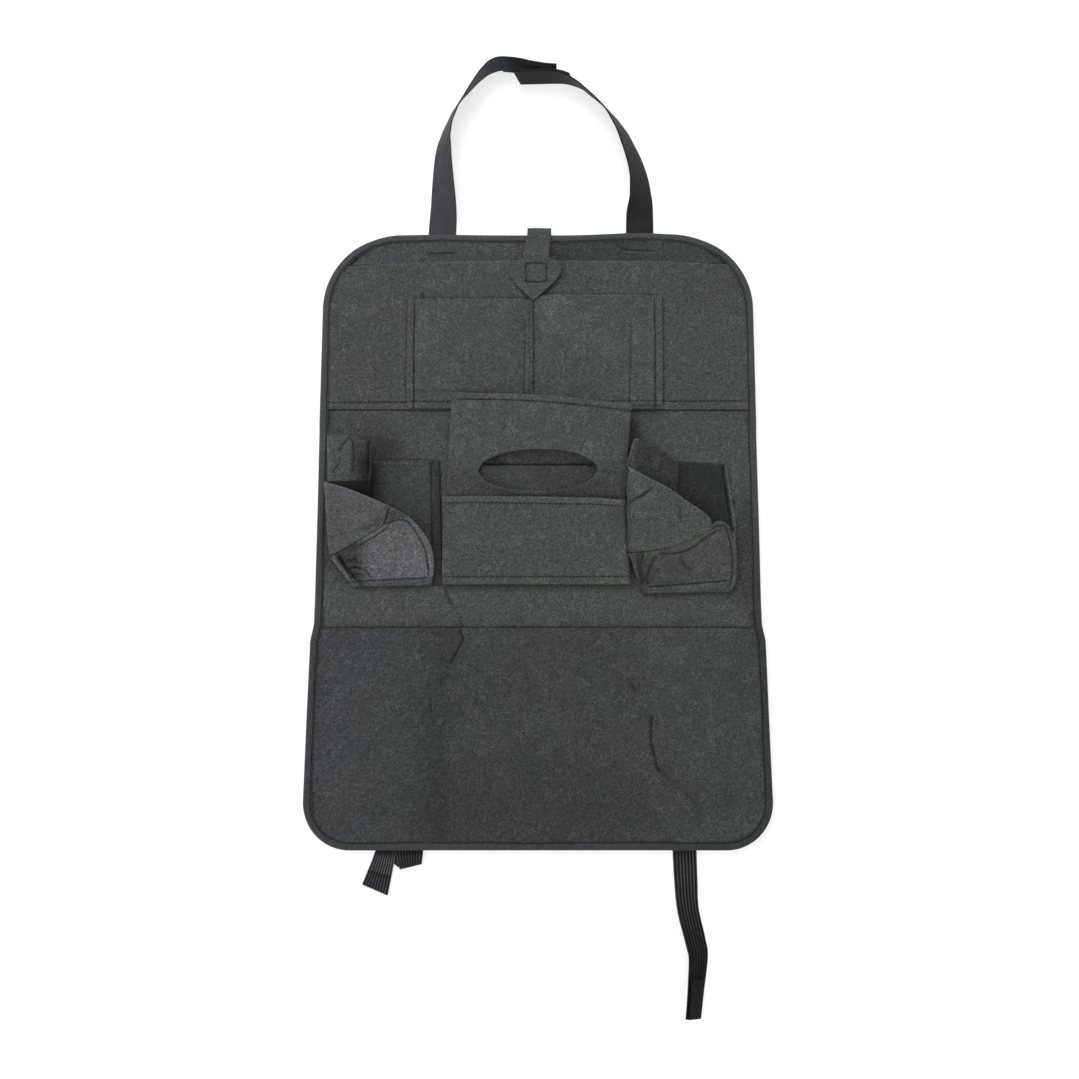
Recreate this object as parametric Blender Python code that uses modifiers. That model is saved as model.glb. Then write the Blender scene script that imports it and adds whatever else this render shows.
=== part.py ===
# Seat-back car organizer of felt, lying on its back: a bound panel with a tablet pocket,
# two phone pockets, a tissue pocket, a centre pocket, two folded cup pockets and a map
# pocket, two webbing straps joined in a loop, a closure tab and two elastic straps.
# Lengths are in millimetres and become metres in mesh_object. +X is right, +Y runs up the
# panel to the straps and +Z is the front. The layout is worked out from the panel's centre,
# and the last lines bring the origin to the middle of the underside.
import math

import bmesh
import bpy
from mathutils import Vector

MM = 0.001

# Material thicknesses, and the clearance between layers
FELT = 1.8
WEBBING = 1.2
ELASTIC = 1.2
TAPE = 0.8
STRAP_PATCH = 2.0
SMALL_PATCH = 1.2
GAP = 0.3

# Panel outline and the binding round it
PANEL_HEIGHT = 558.4
PANEL_WIDTH = 396.4
FLARE = 6.0
FLARE_STEP = 3.0
TOP_RADIUS = 71.0
BOTTOM_RADIUS = 40.5
BINDING_COVER = 7.0
SEAM_MARGIN = 9.0

# Tablet pocket across the top, with its mouth up
TABLET_DROP = 27.9
TABLET_DEPTH = 139.0
TABLET_LIFT = 5.0

# Phone pockets on the tablet pocket, each side of one seam
PHONE_SEAM_X = -4.0
PHONE_LEFT_WIDTH = 115.0
PHONE_RIGHT_WIDTH = 117.5
PHONE_RISE = 3.0
PHONE_LEFT_DEPTH = 98.0
PHONE_RIGHT_DEPTH = 101.5
PHONE_LIFT = 4.6

# Tissue pocket, its slot, the flap inside it and the centre pocket over its lower half
GROUP_DEPTH = 161.0
TISSUE_HALF = 82.0
TISSUE_OVERLAP = 12.6
TISSUE_SLANT = 13.0
TISSUE_LIFT = 5.0
TISSUE_TILT = 9.0
TISSUE_CROWN = 3.0
TISSUE_PINCH = 5.4
SLOT_LENGTH = 107.6
SLOT_WIDTH = 38.0
SLOT_ABOVE_SEAM = 102.0
FLAP_DEPTH = 107.0
FLAP_LIFT = 3.4
CENTER_DEPTH = 78.0
CENTER_LIFT = 6.5
GUSSET_FOLD = 7.0

# Cup pockets, one on each side of the tissue pocket
CUP_HEIGHT = 136.0
CUP_RIGHT_INSET = 18.7
CUP_CLEARANCE = 0.6
CUP_FIELD = (100.0, 136.0, 2.1)

# Map pocket across the bottom
MAP_DROP = 40.2
MAP_LIFT = 6.0

# Webbing loop, with a hook and a loop patch where its two ends meet
STRAP_WIDTH = 25.0
STRAP_LEFT_X = -102.5
STRAP_RIGHT_X = 108.0
STRAP_TAIL = 23.0
LOOP_REACH = 162.2
STRAP_PATCH_WIDTH = 21.0

# Closure band that comes over the top edge and ends as a shield-shaped tab
CLOSURE_X = 0.5
CLOSURE_FELT = 1.2
CLOSURE_WIDTH = 21.5
CLOSURE_TAIL = 24.0
CLOSURE_BULGE = 3.5
TAB_WIDTH = 47.0
TAB_HEIGHT = 39.0
TAB_LEAN = 4.5
TAB_PATCH = 19.0

# Elastic straps at the bottom edge
ELASTIC_WIDTH = 20.0
ELASTIC_TAIL = 20.0
ELASTIC_LEFT_INSET = 75.0
ELASTIC_RIGHT_INSET = 60.7
ELASTIC_REACH = 140.4
ELASTIC_PATCH_WIDTH = 16.0

# Colours
FELT_GREY = (0.045, 0.05, 0.048)
TAPE_GREY = (0.04, 0.04, 0.045)
WEBBING_BLACK = (0.02, 0.022, 0.027)
ELASTIC_BLACK = (0.012, 0.012, 0.013)

# Layers are counted from the back panel, and a height is that of a sheet's middle
BACK_MID = WEBBING + GAP + TAPE + GAP + FELT / 2
LAYER = FELT + GAP
BACK_TOP = BACK_MID + FELT / 2
TOP = PANEL_HEIGHT / 2
BOTTOM = -TOP
TABLET_TOP = TOP - TABLET_DROP
TABLET_BOTTOM = TABLET_TOP - TABLET_DEPTH
PHONE_BOTTOM = TABLET_BOTTOM + PHONE_RISE
GROUP_BOTTOM = TABLET_BOTTOM - GROUP_DEPTH
TISSUE_TOP = TABLET_BOTTOM + TISSUE_OVERLAP
CENTER_TOP = GROUP_BOTTOM + CENTER_DEPTH
FLAP_TOP = GROUP_BOTTOM + FLAP_DEPTH
SLOT_Y = GROUP_BOTTOM + SLOT_ABOVE_SEAM
MAP_TOP = GROUP_BOTTOM - MAP_DROP


# Numbers and curves
def ease(x):
    x = min(max(x, 0.0), 1.0)
    return x * x * (3 - 2 * x)


def mix(a, b, t):
    return a + (b - a) * t


def smooth_curve(points, count):
    """count + 1 points on a Catmull-Rom curve through the given ones."""
    points = [Vector(p) for p in points]
    padded = [2 * points[0] - points[1]] + points + [2 * points[-1] - points[-2]]
    spans = len(points) - 1
    result = []
    for i in range(count + 1):
        s = i / count * spans
        k = min(int(s), spans - 1)
        t = s - k
        a, b, c, d = padded[k : k + 4]
        bend = 2 * a - 5 * b + 4 * c - d
        turn = 3 * b - a - 3 * c + d
        result.append(0.5 * (2 * b + (c - a) * t + bend * t * t + turn * t * t * t))
    return result


def rounded(corners, step=15):
    """Points and outward normals round a clockwise polygon of (x, y, radius) corners."""
    result = []
    count = len(corners)
    for k in range(count):
        here = Vector(corners[k][:2])
        before = (Vector(corners[k - 1][:2]) - here).normalized()
        after = (Vector(corners[(k + 1) % count][:2]) - here).normalized()
        half = before.angle(after) / 2
        radius = corners[k][2]
        centre = here + (before + after).normalized() * radius / math.sin(half)
        start = here + before * radius / math.tan(half) - centre
        first = math.atan2(start.y, start.x)
        turn = math.pi - 2 * half
        convex = before.x * after.y - before.y * after.x > 0
        sweep = -turn if convex else turn
        pieces = max(2, round(math.degrees(turn) / step))
        for i in range(pieces + 1):
            angle = first + sweep * i / pieces
            spoke = Vector((math.cos(angle), math.sin(angle)))
            result.append((centre + spoke * radius, spoke if convex else -spoke))
    return result


# Objects
def mesh_object(name, verts, faces, colour, roughness):
    mesh = bpy.data.meshes.new(name)
    mesh.from_pydata([Vector(v) * MM for v in verts], [], faces)
    obj = bpy.data.objects.new(name, mesh)
    organizer.objects.link(obj)
    obj.parent = origin
    material = bpy.data.materials.new(name)
    material.use_nodes = True
    shader = material.node_tree.nodes["Principled BSDF"]
    shader.inputs["Base Color"].default_value = (*colour, 1)
    shader.inputs["Roughness"].default_value = roughness
    shader.inputs["Metallic"].default_value = 0.0
    material.diffuse_color = (*colour, 1)
    mesh.materials.append(material)
    mesh.shade_smooth()
    mesh.set_sharp_from_angle(angle=math.radians(40))
    return obj


def sheet(name, rows, thickness=FELT, colour=FELT_GREY):
    """An open surface through rows of points, given its thickness with Solidify."""
    width = len(rows[0])
    verts = [p for row in rows for p in row]
    faces = []
    for j in range(len(rows) - 1):
        for i in range(width - 1):
            a = j * width + i
            faces.append((a, a + 1, a + 1 + width, a + width))
    obj = mesh_object(name, verts, faces, colour, 0.95)
    solid = obj.modifiers.new("thickness", "SOLIDIFY")
    solid.thickness = thickness * MM
    solid.offset = 0
    return obj


def surface(name, point, across, along, thickness=FELT, colour=FELT_GREY):
    rows = []
    for j in range(along + 1):
        rows.append([point(i / across, j / along) for i in range(across + 1)])
    return sheet(name, rows, thickness, colour)


def flat_plate(name, outline, low, thickness, colour):
    """A flat outline as a filled 2D curve, extruded by half its thickness each way."""
    curve = bpy.data.curves.new(name, "CURVE")
    curve.dimensions = "2D"
    curve.fill_mode = "BOTH"
    curve.extrude = thickness / 2
    spline = curve.splines.new("POLY")
    spline.points.add(len(outline) - 1)
    for point, (x, y) in zip(spline.points, outline):
        point.co = (x, y, 0, 1)
    spline.use_cyclic_u = True
    shape = bpy.data.objects.new(name + "_curve", curve)
    organizer.objects.link(shape)
    bpy.context.view_layer.update()
    evaluated = shape.evaluated_get(bpy.context.evaluated_depsgraph_get())
    work = bmesh.new()
    work.from_mesh(bpy.data.meshes.new_from_object(evaluated))
    bpy.data.objects.remove(shape)
    bmesh.ops.remove_doubles(work, verts=work.verts, dist=0.01)
    bmesh.ops.recalc_face_normals(work, faces=work.faces)
    verts = [v.co + Vector((0, 0, low + thickness / 2)) for v in work.verts]
    faces = [[v.index for v in f.verts] for f in work.faces]
    work.free()
    return mesh_object(name, verts, faces, colour, 0.95)


# The panel and its binding
def panel_outline():
    half = PANEL_WIDTH / 2
    step_top = MAP_TOP + 4
    right = [
        (half, TOP, TOP_RADIUS),
        (half, step_top, 30),
        (half + FLARE_STEP, step_top - 14, 30),
        (half + FLARE, BOTTOM, BOTTOM_RADIUS),
    ]
    left = [(-x, y, r) for x, y, r in reversed(right)]
    return rounded(right + left)


OUTLINE = panel_outline()


def half_width(y):
    """Half the panel's width at a height, a seam's clearance inside the binding."""
    best = 0.0
    for (a, _), (b, _) in zip(OUTLINE, OUTLINE[1:] + OUTLINE[:1]):
        if min(a.y, b.y) <= y <= max(a.y, b.y) and a.y != b.y:
            best = max(best, mix(a.x, b.x, (y - a.y) / (b.y - a.y)))
    return best - GAP


def binding_low(y):
    """Underside of the binding's upper leg, which climbs over a pocket's caught edge."""
    run = 12
    over_tablet = ease((TABLET_TOP - y) / run + 2) * ease((y - TABLET_BOTTOM) / run + 2)
    over_map = ease((MAP_TOP - y) / run + 2)
    return BACK_TOP + GAP + LAYER * max(over_tablet, over_map)


def back_panel():
    outline = [(p.x, p.y) for p, _ in OUTLINE]
    flat_plate("back_panel", outline, BACK_MID - FELT / 2, FELT, FELT_GREY)


def edge_binding():
    ring = []
    for (a, na), (b, nb) in zip(OUTLINE, OUTLINE[1:] + OUTLINE[:1]):
        pieces = max(1, round((b - a).length / 12))
        for i in range(pieces):
            t = i / pieces
            ring.append((a.lerp(b, t), na.lerp(nb, t).normalized()))
    foot = BACK_MID - FELT / 2 - GAP
    verts = []
    for p, normal in ring:
        leg = binding_low(p.y)
        inner = GAP
        outer = GAP + TAPE
        section = [
            (-BINDING_COVER, foot - TAPE),
            (-BINDING_COVER, foot),
            (inner, foot),
            (inner, leg),
            (-BINDING_COVER, leg),
            (-BINDING_COVER, leg + TAPE),
            (outer - TAPE, leg + TAPE),
            (outer, leg),
            (outer, foot),
            (outer - TAPE, foot - TAPE),
        ]
        verts.extend((*(p + normal * out), z) for out, z in section)
    size = len(section)
    faces = []
    for k in range(len(ring)):
        a = k * size
        b = (k + 1) % len(ring) * size
        for i in range(size):
            j = (i + 1) % size
            faces.append((a + i, b + i, b + j, a + j))
    mesh_object("edge_binding", verts, faces, TAPE_GREY, 0.85)


# Wide pockets: flat where they are sewn, and lifted at the mouth
def tablet_height(x, y):
    sides = ease((half_width(y) - abs(x) - SEAM_MARGIN) / 45)
    return BACK_MID + LAYER + TABLET_LIFT * sides * ease((y - TABLET_BOTTOM - SEAM_MARGIN) / 45)


def tablet_pocket():
    def point(u, v):
        y = mix(TABLET_BOTTOM, TABLET_TOP, v)
        x = half_width(y) * (2 * u - 1)
        return (x, y, tablet_height(x, y))

    surface("tablet_pocket", point, 22, 11)


def map_pocket():
    low = BOTTOM + GAP

    def point(u, v):
        y = mix(low, MAP_TOP, v**1.5)
        x = half_width(y) * (2 * u - 1)
        sides = ease((half_width(y) - abs(x) - SEAM_MARGIN) / 45)
        lift = MAP_LIFT * sides * ease((y - BOTTOM - SEAM_MARGIN) / 45)
        return (x, y, BACK_MID + LAYER + lift)

    surface("map_pocket", point, 22, 14)


def phone_height(x, y, left, right):
    sides = ease((x - left - 4) / 18) * ease((right - x - 4) / 18)
    lift = PHONE_LIFT * sides * ease((y - PHONE_BOTTOM - SEAM_MARGIN) / 42)
    return tablet_height(x, y) + LAYER + lift


def phone_pocket(name, left, right, depth):
    def point(u, v):
        x = mix(left, right, u)
        y = mix(PHONE_BOTTOM, PHONE_BOTTOM + depth, v)
        return (x, y, phone_height(x, y, left, right))

    surface(name, point, 12, 9)


def phone_pockets():
    seam_left = PHONE_SEAM_X - GAP / 2
    seam_right = PHONE_SEAM_X + GAP / 2
    left = seam_left - PHONE_LEFT_WIDTH
    phone_pocket("phone_pocket_left", left, seam_left, PHONE_LEFT_DEPTH)
    phone_pocket("phone_pocket_right", seam_right, seam_right + PHONE_RIGHT_WIDTH, PHONE_RIGHT_DEPTH)


# Tissue pocket: the front stands off the panel, more at its right, on two side gussets
def tissue_share(y):
    return (y - GROUP_BOTTOM) / (TISSUE_TOP - GROUP_BOTTOM)


def tissue_left(y):
    return -TISSUE_HALF - mix(3, -4.4, tissue_share(y))


def tissue_right(y):
    share = tissue_share(y)
    pinch = TISSUE_PINCH * math.sin(math.pi * min(max(share, 0), 1))
    return TISSUE_HALF + mix(0.7, 3.4, share) - pinch


def tissue_height(u, y):
    crown = TISSUE_CROWN * math.sin(math.pi * u)
    rise = ease((y - CENTER_TOP + 14) / 60)
    return BACK_MID + 2 * LAYER + (TISSUE_LIFT + TISSUE_TILT * u + crown) * rise


def tissue_panel():
    def point(u, v):
        top = TISSUE_TOP - TISSUE_SLANT * u**1.6
        y = mix(GROUP_BOTTOM, top, v)
        return (mix(tissue_left(y), tissue_right(y), u), y, tissue_height(u, y))

    panel = surface("tissue_panel", point, 16, 16)
    bpy.ops.mesh.primitive_cylinder_add(vertices=40, radius=0.5, depth=0.06)
    cutter = bpy.context.object
    cutter.name = "slot_cutter"
    for v in cutter.data.vertices:
        v.co.x *= SLOT_LENGTH * MM
        v.co.y *= SLOT_WIDTH * MM
    cutter.location = (0, SLOT_Y * MM, 0.015)
    cutter.parent = origin
    cutter.hide_render = True
    cutter.display_type = "WIRE"
    for collection in list(cutter.users_collection):
        collection.objects.unlink(cutter)
    cutters.objects.link(cutter)
    cut = panel.modifiers.new("slot", "BOOLEAN")
    cut.object = cutter
    cut.operation = "DIFFERENCE"


def tissue_flap():
    def point(u, v):
        y = mix(GROUP_BOTTOM, FLAP_TOP, v)
        inset = SEAM_MARGIN
        x = mix(tissue_left(y) + inset, tissue_right(y) - inset, u)
        lift = FLAP_LIFT * ease((y - CENTER_TOP + 14) / 43)
        return (x, y, BACK_MID + LAYER + lift)

    surface("tissue_flap", point, 10, 10)


def gusset(name, u, edge, inward, low, high):
    """A side strip of the tissue pocket, folded inward like a bellows."""

    def point(a, v):
        y = mix(low, high, v)
        top = tissue_height(u, y) - LAYER
        bottom = BACK_MID + LAYER
        z = mix(bottom, top, a)
        fold = math.sin(math.pi * a)
        return (edge(y) + inward * (1 + GUSSET_FOLD * fold), y, z)

    surface(name, point, 8, 6)


def gussets():
    high = TABLET_BOTTOM - 2
    gusset("tissue_gusset_left", 0, tissue_left, 1, CENTER_TOP + 33, high)
    gusset("tissue_gusset_right", 1, tissue_right, -1, CENTER_TOP + 18, high)


def center_pocket():
    def point(u, v):
        y = mix(GROUP_BOTTOM, CENTER_TOP - 3 * u, v)
        left = -TISSUE_HALF - 3
        x = mix(left, tissue_right(y), u)
        sides = ease(u / 0.2) * ease((1 - u) / 0.2)
        lift = CENTER_LIFT * sides * ease((y - GROUP_BOTTOM - SEAM_MARGIN) / 30)
        return (x, y, tissue_height(u, y) + LAYER + lift)

    surface("center_pocket", point, 14, 10)


# A cup pocket: its wall is folded over on itself beside the panel's edge and its front
# leans down, its side lies on the panel, and its D-shaped floor is turned up on top.
# The lists give (x, y, z) on CUP_FIELD, a field of that width and height, whose third number
# is what one layer of felt takes; z counts from a sheet that lies on the panel.
LEFT_WALL = [
    ((0, 136, 0), (2, 20, 0)),
    ((21, 135, 2), (15, 18, 0)),
    ((36, 127, 0.2), (26, 19, 0)),
    ((38.5, 123, 1.2), (29.5, 21, 1.2)),
    ((36, 115, 2.4), (26, 22.5, 2.4)),
    ((20, 103, 2.6), (19, 24, 2.6)),
    ((4, 95, 3.4), (8, 26, 3.4)),
    ((1.2, 92.5, 5.5), (5, 26.5, 5.2)),
    ((4, 90.5, 8.5), (8.2, 27.5, 7)),
    ((31, 79, 12.4), (28.5, 38.8, 9)),
    ((60, 66, 12.2), (54, 54.8, 9)),
    ((71, 63.5, 10.5), (70.5, 60.6, 8.6)),
]
LEFT_FLOOR = [
    (8, 25, 7.6),
    (28, 36.5, 8.9),
    (54, 52.6, 8.9),
    (71, 58.4, 8.6),
    (79.5, 49, 7.4),
    (89.5, 34, 5.9),
    (92.6, 20, 4.2),
    (93.4, 9, 3),
]
LEFT_SEAM = ((27.5, 2, 2.1), (93.4, 5, 2.1))
LEFT_SIDE = ((41.5, 0), (100, 0), (99, 112), (42.5, 112))
RIGHT_WALL = [
    ((3, 130, 0), (3, 12, 0)),
    ((15, 129, 1.8), (14, 12, 0)),
    ((34, 117, 0.2), (31, 14, 0)),
    ((41.5, 109, 1.2), (36.5, 17, 1.2)),
    ((37, 105, 2.4), (32.5, 19.5, 2.4)),
    ((20, 106, 2.7), (18, 22, 2.6)),
    ((5.5, 108.5, 3.6), (5.5, 25, 3.2)),
    ((2, 108, 5.8), (2, 28, 5)),
    ((2.6, 106, 9.5), (2.2, 30.5, 7.4)),
    ((25, 91, 12.4), (29, 32.8, 9)),
    ((47, 77.5, 12.4), (49, 38.8, 9)),
    ((74, 61.5, 11.4), (68.5, 47, 9)),
    ((83.5, 57, 10.2), (84.5, 54, 8.8)),
]
RIGHT_FLOOR = [
    (3.4, 28.2, 7.6),
    (29, 30.8, 8.9),
    (49, 36.6, 8.9),
    (68.5, 44.8, 8.9),
    (84.5, 51.8, 8.6),
    (91, 47.5, 7.4),
    (94.6, 37, 6.4),
    (95, 26, 5.4),
    (94.4, 8, 3),
]
RIGHT_SEAM = ((15.5, -3, 2.1), (94.4, 1, 2.1))
RIGHT_SIDE = ((47.5, -5), (98, -5), (100, 111), (47.5, 111))


def cup_pocket(side, left, right, wall, floor, seam, plate):
    def place(p):
        x = left + p[0] * (right - left) / CUP_FIELD[0]
        y = GROUP_BOTTOM + p[1] * CUP_HEIGHT / CUP_FIELD[1]
        return Vector((x, y, BACK_MID + LAYER + p[2] * LAYER / CUP_FIELD[2]))

    tops = smooth_curve([place(t) for t, _ in wall], 44)
    feet = smooth_curve([place(b) for _, b in wall], 44)
    rows = [[foot.lerp(top, k / 5) for foot, top in zip(feet, tops)] for k in range(6)]
    sheet(side + "_cup_wall", rows)

    curve = smooth_curve([place(p) for p in floor], 20)
    first, last = (place(p) for p in seam)
    rows = []
    for k in range(7):
        t = k / 6
        row = []
        for i, edge in enumerate(curve):
            p = first.lerp(last, i / 20).lerp(edge, t)
            p.z += CUP_CLEARANCE * 2 * math.sin(math.pi * t)
            row.append(p)
        rows.append(row)
    sheet(side + "_cup_floor", rows)

    a, b, c, d = (place((*p, 0)) for p in plate)
    rows = [[a.lerp(d, j / 4).lerp(b.lerp(c, j / 4), i / 4) for i in range(5)] for j in range(5)]
    sheet(side + "_cup_side", rows)


def cup_pockets():
    left = -PANEL_WIDTH / 2 + BINDING_COVER + CUP_CLEARANCE
    right = -TISSUE_HALF - 3 - 3 * CUP_CLEARANCE
    cup_pocket("left", left, right, LEFT_WALL, LEFT_FLOOR, LEFT_SEAM, LEFT_SIDE)
    left = TISSUE_HALF - 2 + CUP_CLEARANCE
    right = PANEL_WIDTH / 2 - CUP_RIGHT_INSET
    cup_pocket("right", left, right, RIGHT_WALL, RIGHT_FLOOR, RIGHT_SEAM, RIGHT_SIDE)


# A strap stands more and more on one edge: its path is that edge's, as (x, y, tilt), and
# the other edge rises towards the path's inner side
def strap_stations(path, count, inner):
    points = smooth_curve(path, count)
    stations = []
    for i, p in enumerate(points):
        before = points[max(i - 1, 0)]
        after = points[min(i + 1, count)]
        along = Vector((after.x - before.x, after.y - before.y, 0)).normalized()
        inward = Vector((along.y, -along.x, 0)) * inner
        tilt = math.radians(max(p.z, 0))
        width = inward * math.cos(tilt) + Vector((0, 0, math.sin(tilt)))
        face = inward * math.sin(tilt) - Vector((0, 0, math.cos(tilt)))
        stations.append((Vector((p.x, p.y, 0)), width, face))
    return stations


def ribbon(name, stations, width, thickness, colour, base, offset=0, margin=0):
    """A flat band along the stations; offset is towards the face that starts underneath."""
    rows = []
    for edge, across, face in stations:
        lift = Vector((0, 0, base / 2 * abs(face.z)))
        start = edge + lift + face * offset
        row = []
        for k in range(4):
            row.append(start + across * mix(margin, width + margin, k / 3))
        rows.append(row)
    return sheet(name, rows, thickness, colour)


def webbing_loop():
    reach = LOOP_REACH
    span = STRAP_RIGHT_X - STRAP_LEFT_X
    stack = WEBBING + 2 * STRAP_PATCH + 3 * GAP
    x = STRAP_LEFT_X
    left = [
        (x, TOP - STRAP_TAIL, 0),
        (x, TOP - 1, 0),
        (x + 0.0038 * span, TOP + 0.098 * reach, 4),
        (x + 0.0095 * span, TOP + 0.196 * reach, 20),
        (x + 0.0128 * span, TOP + 0.295 * reach, 31.5),
        (x + 0.0185 * span, TOP + 0.418 * reach, 43.5),
        (x + 0.0242 * span, TOP + 0.493 * reach, 49.5),
        (x + 0.0347 * span, TOP + 0.5675 * reach, 57),
        (x + 0.048 * span, TOP + 0.618 * reach, 63),
        (x + 0.0613 * span, TOP + 0.668 * reach, 67),
        (x + 0.0765 * span, TOP + 0.712 * reach, 69),
        (x + 0.1007 * span, TOP + 0.781 * reach, 70.5),
        (x + 0.123 * span, TOP + 0.825 * reach, 72),
        (x + 0.1458 * span, TOP + 0.866 * reach, 74),
        (x + 0.1658 * span, TOP + 0.895 * reach, 77),
        (x + 0.1905 * span, TOP + 0.9325 * reach, 80),
        (x + 0.218 * span, TOP + 0.971 * reach, 83),
        (x + 0.2542 * span, TOP + 1.012 * reach, 86.5),
        (x + 0.2812 * span, TOP + 1.031 * reach, 88.5),
        (x + 0.3131 * span, TOP + 1.044 * reach, 88.5),
        (x + 0.3496 * span, TOP + 1.044 * reach, 88.5),
        (x + 0.4014 * span, TOP + 1.036 * reach, 88.5),
        (x + 0.4504 * span, TOP + 1.021 * reach, 88.5),
        (x + 0.5192 * span, TOP + 1.005 * reach, 88.5),
        (x + 0.5686 * span, TOP + reach, 88.5),
    ]
    meet = reach - stack
    x = STRAP_RIGHT_X
    right = [
        (x, TOP - STRAP_TAIL, 0),
        (x, TOP - 1, 0),
        (x, TOP + 0.127 * meet, 7.5),
        (x - 0.0019 * span, TOP + 0.217 * meet, 26.5),
        (x - 0.0081 * span, TOP + 0.281 * meet, 35),
        (x - 0.0171 * span, TOP + 0.358 * meet, 41.5),
        (x - 0.0323 * span, TOP + 0.435 * meet, 46),
        (x - 0.0527 * span, TOP + 0.512 * meet, 49.5),
        (x - 0.0793 * span, TOP + 0.59 * meet, 54),
        (x - 0.1083 * span, TOP + 0.668 * meet, 58.5),
        (x - 0.1477 * span, TOP + 0.746 * meet, 63.5),
        (x - 0.1819 * span, TOP + 0.802 * meet, 67.5),
        (x - 0.2133 * span, TOP + 0.847 * meet, 69),
        (x - 0.2451 * span, TOP + 0.887 * meet, 70),
        (x - 0.2765 * span, TOP + 0.923 * meet, 71),
        (x - 0.3083 * span, TOP + 0.959 * meet, 72),
        (x - 0.3449 * span, TOP + 0.982 * meet, 75),
        (x - 0.39 * span, TOP + 0.998 * meet, 81.5),
        (x - 0.4494 * span, TOP + meet, 88),
        (x - 0.504 * span, TOP + 0.998 * meet, 88.5),
        (x - 0.5772 * span, TOP + 0.996 * meet, 88.5),
    ]
    left_stations = strap_stations(left, 2 * (len(left) - 1), 1)
    right_stations = strap_stations(right, 3 * (len(right) - 1), -1)
    ribbon("left_strap", left_stations, STRAP_WIDTH, WEBBING, WEBBING_BLACK, WEBBING)
    ribbon("right_strap", right_stations, STRAP_WIDTH, WEBBING, WEBBING_BLACK, WEBBING)
    margin = (STRAP_WIDTH - STRAP_PATCH_WIDTH) / 2
    offset = WEBBING / 2 + GAP + STRAP_PATCH / 2
    size = (STRAP_PATCH_WIDTH, STRAP_PATCH, WEBBING_BLACK, WEBBING)
    ribbon("strap_hook_patch", left_stations[39:48], *size, offset, margin)
    ribbon("strap_loop_patch", right_stations[50:61], *size, -offset, margin)


# Closure tab: one piece of felt that comes from behind over the top edge as a band and
# ends as a shield on the tablet pocket's mouth, with a hook and a loop patch between them
def closure():
    under = CLOSURE_FELT / 2
    over = BACK_TOP + 2 * GAP + TAPE + CLOSURE_FELT / 2
    mouth = tablet_height(CLOSURE_X, TABLET_TOP) + FELT / 2
    loop_low = mouth + GAP
    hook_low = loop_low + SMALL_PATCH + GAP
    shield = hook_low + SMALL_PATCH + GAP + CLOSURE_FELT / 2
    middle = (under + over) / 2
    edge = TOP + GAP + TAPE
    shoulder = TABLET_TOP + 1
    band = CLOSURE_WIDTH / 2
    half = TAB_WIDTH / 2
    tip = shoulder - TAB_HEIGHT
    profile = [
        (TOP - CLOSURE_TAIL, under, band),
        (TOP - 4, under, band),
        (edge + 1, under, band),
        (edge + CLOSURE_BULGE, mix(under, middle, 0.45), band),
        (edge + CLOSURE_BULGE + 0.6, middle, band),
        (edge + CLOSURE_BULGE, mix(over, middle, 0.45), band),
        (edge + 0.6, over, band),
        (TOP - 6, over + 0.3, band),
        (mix(TOP - 6, shoulder, 0.5), mix(over, shield, 0.55), band),
        (shoulder + 4, shield, band),
        (shoulder + 1, shield, band + 1),
        (shoulder - 2, shield, mix(band, half, 0.6)),
        (shoulder - 6, shield, 0.93 * half),
        (mix(shoulder, tip, 0.3), shield, half),
        (mix(shoulder, tip, 0.48), shield, 0.86 * half),
        (mix(shoulder, tip, 0.7), shield, 0.56 * half),
        (mix(shoulder, tip, 0.88), shield, 0.24 * half),
        (tip, shield, 1.0),
    ]
    rows = []
    for p in smooth_curve(profile, 51):
        lean = -TAB_LEAN * ease((TOP - p.x) / (TOP - tip))
        z = max(p.y, under)
        rows.append([(CLOSURE_X + lean + p.z * (k / 3 - 1), p.x, z) for k in range(7)])
    sheet("closure_tab", rows, CLOSURE_FELT)

    middle_y = shoulder - 2 - TAB_PATCH / 2
    for name, low, inset in (("closure_loop_patch", loop_low, 0), ("closure_hook_patch", hook_low, 0.5)):
        side = TAB_PATCH / 2 - inset
        corners = [(-side, side), (side, side), (side, -side), (-side, -side)]
        outline = [(CLOSURE_X - TAB_LEAN / 2 + x, middle_y + y) for x, y in corners]
        flat_plate(name, outline, low, SMALL_PATCH, WEBBING_BLACK)


# Elastic straps: the right one lies loose, the left one is folded back on itself twice
def right_elastic():
    x = PANEL_WIDTH / 2 - ELASTIC_RIGHT_INSET
    reach = ELASTIC_REACH
    path = [
        (x, BOTTOM + ELASTIC_TAIL, 0),
        (x, BOTTOM, 0),
        (x + 0.4, BOTTOM - 0.18 * reach, 8),
        (x + 0.9, BOTTOM - 0.352 * reach, 22),
        (x + 6, BOTTOM - 0.53 * reach, 28),
        (x + 8, BOTTOM - 0.64 * reach, 32),
        (x + 4, BOTTOM - 0.85 * reach, 42),
        (x + 1.2, BOTTOM - reach, 45),
    ]
    stations = strap_stations(path, 36, 1)
    ribbon("right_elastic", stations, ELASTIC_WIDTH, ELASTIC, ELASTIC_BLACK, ELASTIC)
    margin = (ELASTIC_WIDTH - ELASTIC_PATCH_WIDTH) / 2
    offset = -(ELASTIC / 2 + GAP + SMALL_PATCH / 2)
    size = (ELASTIC_PATCH_WIDTH, SMALL_PATCH, WEBBING_BLACK, ELASTIC)
    ribbon("right_elastic_patch", stations[29:37], *size, offset, margin)


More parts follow.
